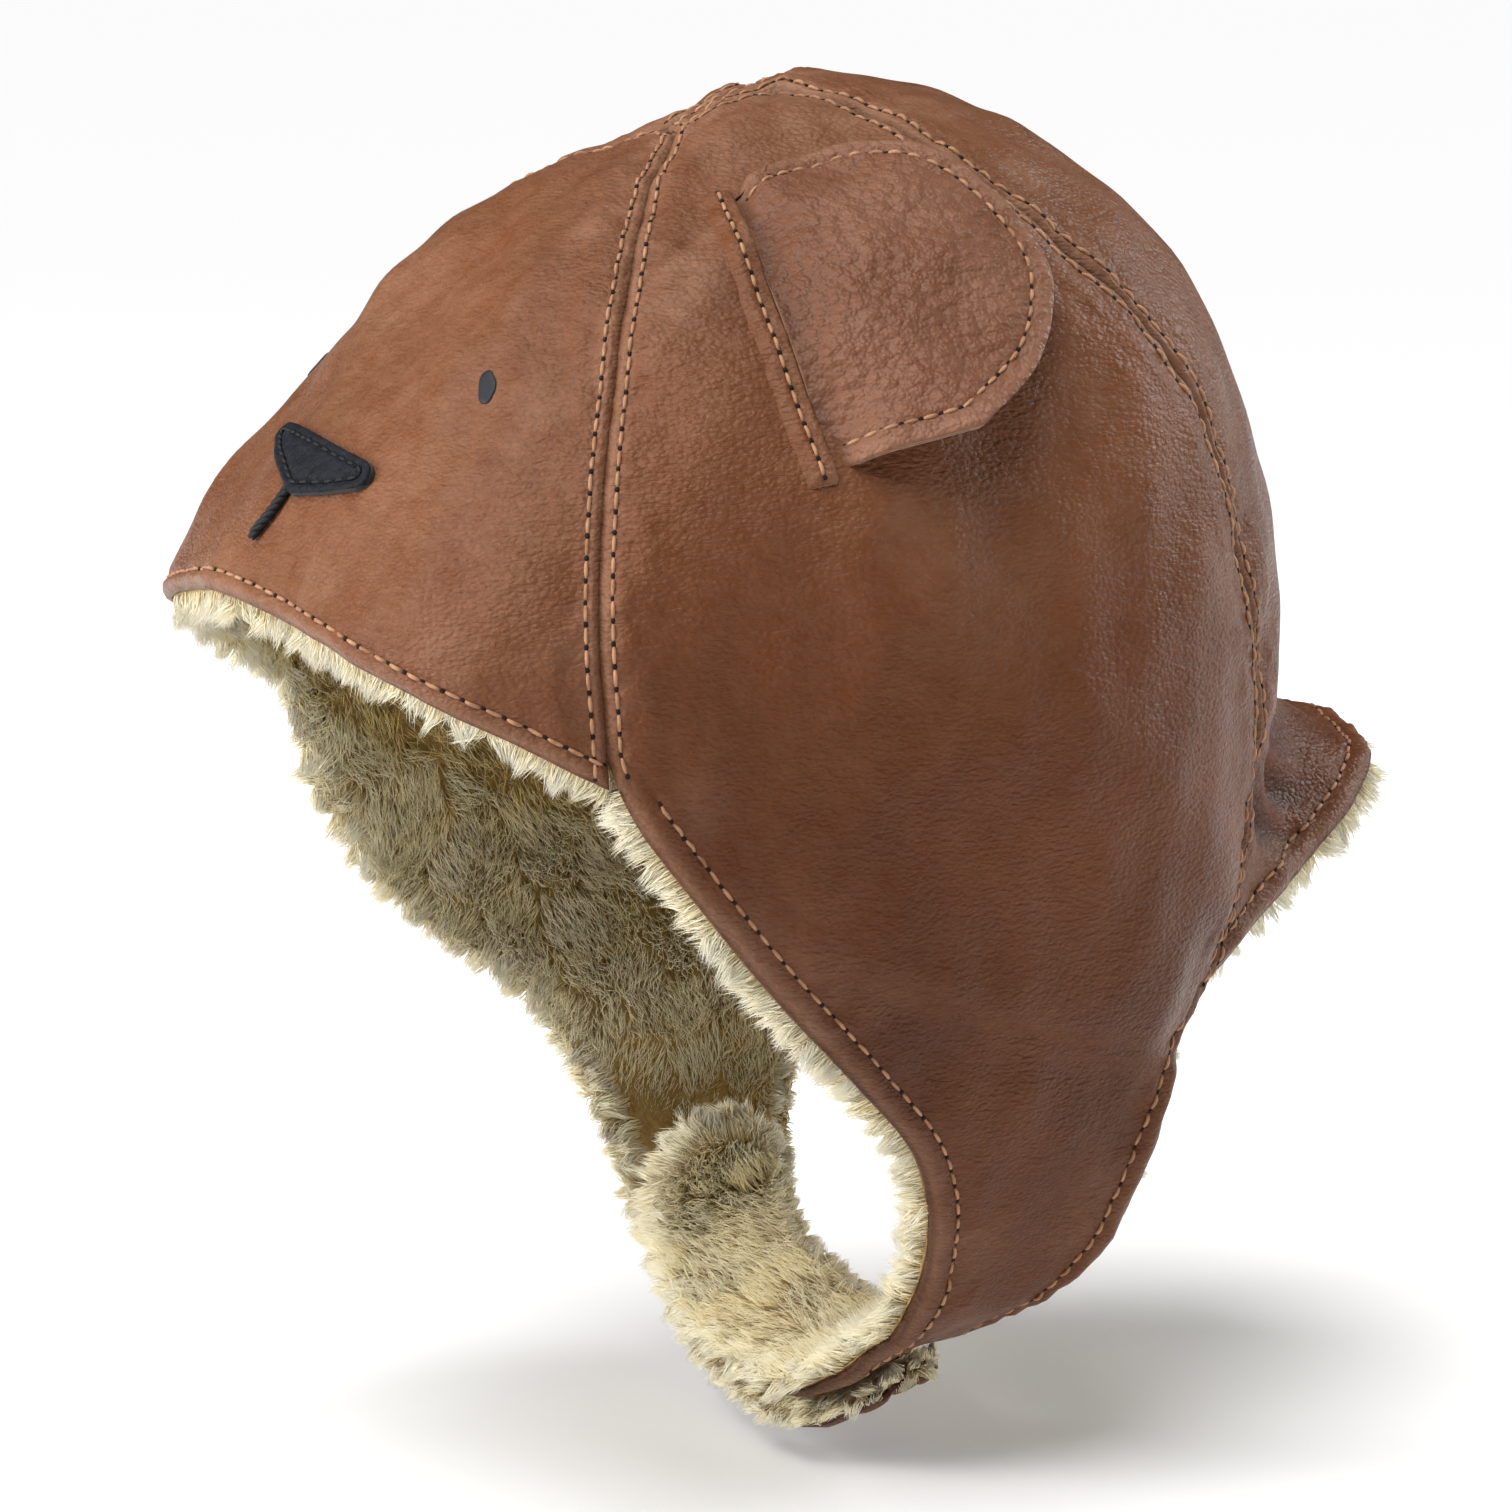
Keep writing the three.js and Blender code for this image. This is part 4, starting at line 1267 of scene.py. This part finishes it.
def ears():
    """Each ear's two layers, sewn together round their outline, on its own body."""
    for side, sign in SIDES:
        borders = [(edge, 0, 1, EAR_ROW) for edge in (0, 1, 3)]
        panel = Panel(ear_surface, 1.0, borders, mirrored=sign < 0)
        lining = ear_layer("ear_lining_" + side, panel, 0.0, "ear_inner_" + side, side, "edge")
        outer = ear_layer("ear_leather_" + side, panel, EAR_LEATHER + GAP, "ear_outer_" + side, side, "ear")
        rows = stitches("stitching_ear_" + side, [ear_row(panel)], TAN_SEWING, FINE_PITCH)
        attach(rows, side + "_ear")
        flat, area = flat_cut(panel, rows=slice(1))


def lip_surface(s, t):
    """The folded lip in front of an ear's slit; t runs from the slit forwards."""
    along = ear_base[1] - ear_base[0]
    start = ear_base[0] - along * LIP["past"]
    forward = unit(np.cross(along, ear_base[0] + ear_base[1]))
    p = start + along * (np.asarray(s) * (1 + 2 * LIP["past"]))[..., None]
    return on_body(p + forward * mix(LIP_EDGE, LIP["far"] + 1, np.asarray(t))[..., None])


def lips():
    """The crown's leather turned up along each ear's slit, raw at the slit and flush in front."""
    for side, sign in SIDES:
        panel = Panel(lip_surface, 1.0, [(2, 0, 1, 0)], mirrored=sign < 0)
        settle(slit_lip("slit_lip_" + side, panel), nodes=["ear_slit_lip_" + side])
        rows = stitches("stitching_slit_" + side, [slit_row(panel)], TAN_SEWING, FINE_PITCH)
        settle(rows)


def slit_lip(name, panel):
    s, t = np.meshgrid(np.linspace(0, 1, 90), np.linspace(0, 1, 18))
    slit = panel.distances(s, t)[0]
    thick = LIP["thick"] * (1 - step(0.45, 1.0, t)) * step(-0.01, 0.02, np.minimum(s, 1 - s))
    soft = softness(panel.surface(s, t), slit * 0, panel.mirrored)
    relief = (ON_LEATHER + thick - 0.25 + soft - 0.3 * bell(slit, 0, 0.4) - 0.3 * bell(slit, LIP_ROW, 0.5)
              - 0.5 * step(0.8, 1.0, t))
    outer = panel.point(s, t, relief, share=0)
    inner = panel.point(s, t, -1.0, share=0)
    # the 0.3 all over is painted light, matching the crown's painted light at this height; the bell by the
    # slit is worn paler
    marks = {"wear_and_top_light": 0.3 + 0.4 * bell(slit, 0.3, 0.9), "soil_and_shade": np.zeros_like(s)}
    return shell(name, outer, inner, TAN_LEATHER, marks, edge_look=1, inner_look=1)


def slit_row(panel):
    """The row of stitches along a lip."""
    run = np.linspace(0.02, 0.98, 120)
    s, t = panel.inside(2, run, np.full_like(run, LIP_ROW))
    high = ON_LEATHER + LIP["thick"] - 0.4 + softness(panel.surface(s, t), run * 0, panel.mirrored)
    return panel.point(s, t, high, share=0), panel.outward(s, t)


# ---- face ----
def rounded_outline(corners, radii, per_corner=14):
    """A closed outline round circles at the corners, as a tight string would lie."""
    corners = np.array(corners, float)
    count = len(corners)
    points = []
    for i in range(count):
        before, after = corners[i] - corners[i - 1], corners[(i + 1) % count] - corners[i]
        r_before, r_after = radii[i - 1] - radii[i], radii[i] - radii[(i + 1) % count]
        a0 = math.atan2(before[1], before[0]) + math.pi / 2 - math.asin(r_before / np.linalg.norm(before))
        a1 = math.atan2(after[1], after[0]) + math.pi / 2 - math.asin(r_after / np.linalg.norm(after))
        while a1 > a0:
            a1 -= 2 * math.pi
        for a in np.linspace(a0, a1, per_corner):
            points.append(corners[i] + radii[i] * np.array([math.cos(a), math.sin(a)]))
    return np.array(points)


def even_line(points, count):
    """A closed outline cut into count even steps."""
    closed = np.vstack([points, points[:1]])
    run = run_along(closed)
    return at_run(closed, run, np.linspace(0, run[-1], count, endpoint=False))


def on_face(x, z, y, height):
    """Point standing height off the bonnet's front at x and z, and the way it faces."""
    def base(dx, dz):
        return on_body(np.stack([x + dx, np.full_like(x, y), z + dz], axis=-1))
    p = base(0, 0)
    normal = unit(np.cross(base(0.5, 0) - base(-0.5, 0), base(0, 0.5) - base(0, -0.5)))
    normal = normal * np.sign(np.sum(normal * (p - HEAD_CENTRE), -1, keepdims=True))
    lift = softness(p, np.full(len(p), FAR_OFF), False)
    return p + normal * (np.asarray(height) + lift)[..., None], normal


def disc(name, rings, middle, place_at, looks, edge_from, floats=None):
    """A closed patch through rings of (outline, height), from its top middle round to underneath.
    edge_from is the first ring of its cut edge."""
    count = len(rings[0][0])
    points = [place_at(outline, height) for outline, height in rings]
    top = place_at(middle[None, :], rings[0][1])
    bottom = place_at(middle[None, :], rings[-1][1])
    points = np.concatenate([top, *points, bottom])
    k, after = np.arange(count), (np.arange(count) + 1) % count
    faces, look = [], []
    for i in range(len(rings) - 1):
        a = 1 + i * count
        faces.append(np.stack([a + k, a + after, a + count + after, a + count + k], 1))
        look += [1 if i >= edge_from else 0] * count
    last = 1 + (len(rings) - 1) * count
    caps = [np.stack([np.zeros(count, int), after + 1, k + 1], 1),
            np.stack([np.full(count, len(points) - 1), last + k, last + after], 1)]
    look += [0] * count + [1] * count
    faces = facing_out(points, [np.concatenate(faces), np.concatenate(caps)])
    spread = {key: np.full(len(points), value) for key, value in (floats or {}).items()}
    return mesh_object(name, points, faces, looks, spread, look)


def on_nose(flat, height):
    """Point and facing on the nose patch, from a place on its flat outline."""
    x, z = NOSE["x"] + flat[:, 0], NOSE["z"] + NOSE["slope"] * flat[:, 1]
    return on_face(x, z, NOSE["y"], np.full(len(flat), height))


def nose():
    """A padded patch of black leather with a row of stitches sunk inside its edge."""
    outline = even_line(rounded_outline(NOSE_CORNERS, NOSE_ROUND), 120)
    top = ON_LEATHER + NOSE["thick"]
    middle = outline.mean(0)
    inset = inset_line(outline, NOSE["row"])
    rings = [(mix(middle, inset, share), top + high) for share, high in ((0.4, 0.25), (0.8, 0.15))]
    rings += [(mix(inset, outline, share), top + high)
              for share, high in ((0, -0.35), (0.25, 0), (0.6, 0.12), (0.93, 0), (1, -0.3))]
    rings += [(outline, 0.0), (mix(middle, outline, 0.5), -0.3)]
    cut_edge = 6
    patch = disc("nose", rings, middle, lambda flat, height: on_nose(flat, height)[0],
                 [LOOKS["black"], LOOKS["black_edge"]], cut_edge, {"wear_and_top_light": 0.15, "soil_and_shade": 0.0})
    settle(patch, nodes=["nose_patch"])
    row = on_nose(np.vstack([inset, inset[:1]]), top - 0.1)
    settle(stitches("stitching_nose", [row], BLACK_SEWING, NOSE_PITCH))


def inset_line(outline, distance):
    """A closed outline moved inwards by a distance, smoothed so that its corners stay open."""
    along = unit(np.roll(outline, -2, 0) - np.roll(outline, 2, 0))
    inward = np.stack([along[:, 1], -along[:, 0]], 1)
    line = outline + inward * distance
    for _ in range(6):
        line = (np.roll(line, 1, 0) + 2 * line + np.roll(line, -1, 0)) / 4
    return line


def mouth():
    """A thick twisted thread laid on the leather below the nose: three plies round one line."""
    plies = MOUTH["plies"]
    run = np.linspace(0, 1, 60)
    x = MOUTH["x"] + MOUTH["lean"] * (0.5 - run) + MOUTH["bow"] * np.sin(math.pi * run)
    z = mix(MOUTH["top"], MOUTH["bottom"], run)
    points, normals = on_face(x, z, MOUTH["y"], 0.5 + 0.35 * np.sqrt(np.clip(hump(run), 0, 1)))
    along = unit(np.gradient(points, axis=0))
    across = np.cross(normals, along)
    centres = []
    for ply in range(plies):
        a = 2 * math.pi * (MOUTH["turns"] * run + ply / plies)
        around = normals * np.sin(a)[:, None] + across * np.cos(a)[:, None]
        centres.append(points + MOUTH["twist"] * around)
    centres = np.stack(centres)
    tapered = np.clip(np.minimum(run, 1 - run) * 12, 0.35, 1) ** 0.5
    radii = MOUTH["ply"] * np.broadcast_to(tapered, centres.shape[:2])
    tube_points, faces = tubes(centres, np.broadcast_to(normals, centres.shape), radii, 8)
    obj = mesh_object("mouth", tube_points, faces, [LOOKS["black_thread"]])
    settle(obj, nodes=["mouth_thread"])


def eye(side, sign):
    """A flat painted oval, very slightly domed."""
    turn = np.linspace(0, 2 * math.pi, 40, endpoint=False)
    wobble = 1 + 0.04 * np.sin(3 * turn + 1.0) + 0.03 * np.sin(5 * turn)
    oval = np.stack([EYE["half"] * np.cos(turn), EYE["tall"] * np.sin(turn)], 1) * wobble[:, None]

    def at_eye(flat, height):
        x = EYE["x"] + flat[:, 0] - EYE["lean"] * flat[:, 1]
        z = EYE["z"] + EYE["slope"] * flat[:, 1]
        return on_face(sign * x, z, EYE["y"], np.full(len(flat), height))[0]

    rings = [(share * oval, high) for share, high in EYE_RINGS]
    obj = disc("eye_dot_" + side, rings, np.zeros(2), at_eye, [LOOKS["eye"], LOOKS["eye"]], len(rings))
    settle(obj, nodes=["eye_" + side])


# ---- fastening tapes ----
def tape(name, panel, span, node, side, kind):
    """A sewn square of fastening tape: woven ground with hooks or loops standing on it."""
    def surface(s, t):
        return panel.surface(mix(PATCH_MARGIN, 1 - PATCH_MARGIN, s), 1 + mix(span[0], span[1], t))

    patch = Panel(surface, 1.0, THREE_SEAMS + [(3, 0, 1, 0)], mirrored=panel.mirrored)
    patch.turn = panel.turn
    s, t = patch.grid(0.0, TAPE_SPACING)
    near = np.min(patch.distances(s, t), axis=0)
    rounded = 0.25 * bell(near, 0, 0.4) + 0.2 * bell(near, 1.6, 0.4)
    bottom, top = (kind["low"] + kind[end] * PATCH for end in ("bottom", "top"))
    faces = kind["faces"]
    outer = patch.point(s, t, top - (rounded if faces > 0 else 0), share=0)
    inner = patch.point(s, t, bottom + (0 if faces > 0 else rounded), share=0)
    ground = shell(name, outer, inner, [LOOKS["tape"]])
    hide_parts(node)
    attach(ground, side + "_flap")
    rng = np.random.default_rng(kind["seed"])
    s, t = rng.uniform(0.1, 0.9, kind["count"]), rng.uniform(0.1, 0.9, kind["count"])
    roots = patch.point(s, t, kind["low"] + kind["roots"], share=0)
    out = patch.outward(s, t) * faces
    tufts = pile(name + "_tufts", roots, out, kind["length"], LOOKS[kind["look"]], rng, TAPE_CLUMP)
    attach(tufts, side + "_flap")


def tapes():
    """Hooks on the left strap's outer face and loops under the right strap that lies over it."""
    tape("hook_tape_square", SIDE["left"], HOOK_SPAN, "hook_tape", "left", HOOKS)
    tape("loop_tape_square", SIDE["right"], LOOP_SPAN, "loop_tape", "right", LOOPS)


# ---- assembly ----
def outer_leather():
    made = {
        "front": leather_sheet("front_leather", FRONT, ["front_panel"]),
        "centre": leather_sheet("centre_back_leather", CENTRE, ["centre_back_panel"]),
    }
    for side, panel in SIDE.items():
        nodes = ["side_panel_" + side, "flap_" + side]
        made[side] = leather_sheet("side_leather_" + side, panel, nodes, side)
    return made


def lining_grounds():
    made = {
        "front": fleece_backing("front_fleece", FRONT, ["front_lining"]),
        "centre": fleece_backing("centre_back_fleece", CENTRE, ["centre_back_lining"]),
    }
    for side, panel in SIDE.items():
        nodes = ["side_lining_" + side, "flap_lining_" + side]
        made[side] = fleece_backing("side_fleece_" + side, panel, nodes, side)
    return made


def lining_fur():
    """The pile inside each piece and the longer fringe past each hem."""
    made = {
        "front": [fleece_pile("pile_front", FRONT, 101, (0.02, 0.99)),
                  fringe("fringe_brow", FRONT, 3, 13000, 102, (0.005, 0.995))],
        "centre": [fleece_pile("pile_crown", CENTRE, 103, (0.02, 0.6)),
                   fleece_pile("pile_nape", CENTRE, 104, (0.6, 0.99)),
                   fringe("fringe_nape", CENTRE, 3, 12000, 105, (0.01, 0.99))],
    }
    for seed, (side, panel) in zip((110, 120), SIDE.items()):
        end = panel.t_end
        made[side] = [
            fleece_pile("pile_side_" + side, panel, seed, (0.02, 1.0), side),
            fleece_pile("pile_flap_" + side, panel, seed + 1, (1.0, end - 0.01), side, "strap_fleece"),
            fringe("fringe_cheek_" + side, panel, 0, 15000, seed + 2, (1.0, end), side),
            fringe("fringe_neck_" + side, panel, 1, 11000, seed + 3, (1.0, end), side, length=3.5),
            fringe("fringe_tip_" + side, panel, 3, 2600, seed + 4, (0.03, 0.97), side, length=6.0),
        ]
    return made


def build():
    made, linings, fur = outer_leather(), lining_grounds(), lining_fur()
    ears()
    lips()
    nose()
    mouth()
    for side, sign in SIDES:
        eye(side, sign)
    tapes()
    rows = seam_stitches()
    for key, panel in {"front": FRONT, "centre": CENTRE, **SIDE}.items():
        flat, area = flat_cut(panel)
        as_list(fur[key])


build()


# ---- camera, floor and light ----
def view_axes():
    """The way back to the camera, and the picture's right and up."""
    a, e = math.radians(VIEW["azimuth"]), math.radians(VIEW["elevation"])
    back = np.array([math.sin(a) * math.cos(e), -math.cos(a) * math.cos(e), math.sin(e)])
    right = np.array([math.cos(a), math.sin(a), 0.0])
    return back, right, np.cross(back, right)


def aimed(name, data, place_at, aim):
    """A light or the camera at a place in metres, turned to look at another."""
    obj = bpy.data.objects.new(name, data)
    bpy.context.scene.collection.objects.link(obj)
    obj.location = Vector(place_at)
    obj.rotation_mode = "QUATERNION"
    obj.rotation_quaternion = (Vector(aim) - obj.location).to_track_quat("-Z", "Y")
    return obj


def camera():
    back, right, up = view_axes()
    data = bpy.data.cameras.new("camera")
    data.lens, data.sensor_width = VIEW["lens"], SENSOR
    data.clip_start, data.clip_end = CLIP
    aim = right * VIEW["aim_right"] + up * VIEW["aim_up"]
    bpy.context.scene.camera = aimed("camera", data, back * VIEW["far"] * MM, aim * MM)


def floor(level):
    """A plain pale floor, wide enough that its edge is never seen."""
    ends = (-FLOOR_HALF, FLOOR_HALF)
    points = np.array([(x, y, level) for y in ends for x in ends])
    n = Nodes("floor")
    n.set(Base_Color=(FLOOR_WHITE, FLOOR_WHITE, FLOOR_WHITE, 1.0), Roughness=0.9, Specular_IOR_Level=0.1)
    obj = mesh_object("floor", points / MM, [grid_quads(2, 2)], [n.material])


def light_place(at):
    """A light's place from its parts towards the camera, towards the picture's right and upwards."""
    back, right, _ = view_axes()
    return back * at[0] + right * at[1] + np.array([0.0, 0.0, at[2]])


def window(name, light):
    data = bpy.data.lights.new(name, "AREA")
    data.shape = "RECTANGLE"
    data.size, data.size_y = light["size"]
    data.energy = light["power"]
    aimed(name, data, light_place(light["at"]), light["aim"])


def overhead():
    """One broad soft light high above, a little to the face side, which also makes the floor white."""
    data = bpy.data.lights.new("overhead", "SUN")
    data.energy, data.angle = OVERHEAD["power"], OVERHEAD["spread"]
    aimed("overhead", data, light_place(OVERHEAD["at"]), (0, 0, 0))


def room():
    """A dim white room to light by, which looks white where it is seen above the floor."""
    world = bpy.data.worlds.new("room")
    world.use_nodes = True
    tree = world.node_tree
    seen = tree.nodes.new("ShaderNodeLightPath")
    strength = tree.nodes.new("ShaderNodeMapRange")
    strength.inputs["To Min"].default_value = ROOM
    tree.links.new(seen.outputs["Is Camera Ray"], strength.inputs["Value"])
    tree.links.new(strength.outputs["Result"], tree.nodes["Background"].inputs["Strength"])
    tree.nodes["Background"].inputs["Color"].default_value = (1.0, 1.0, 1.0, 1.0)
    bpy.context.scene.world = world


camera()
floor(cad_box[0].z - FLOOR_BELOW)
window("window", WINDOW)
window("crown_window", CROWN_WINDOW)
overhead()
room()
bpy.context.scene.view_settings.view_transform = "Standard"
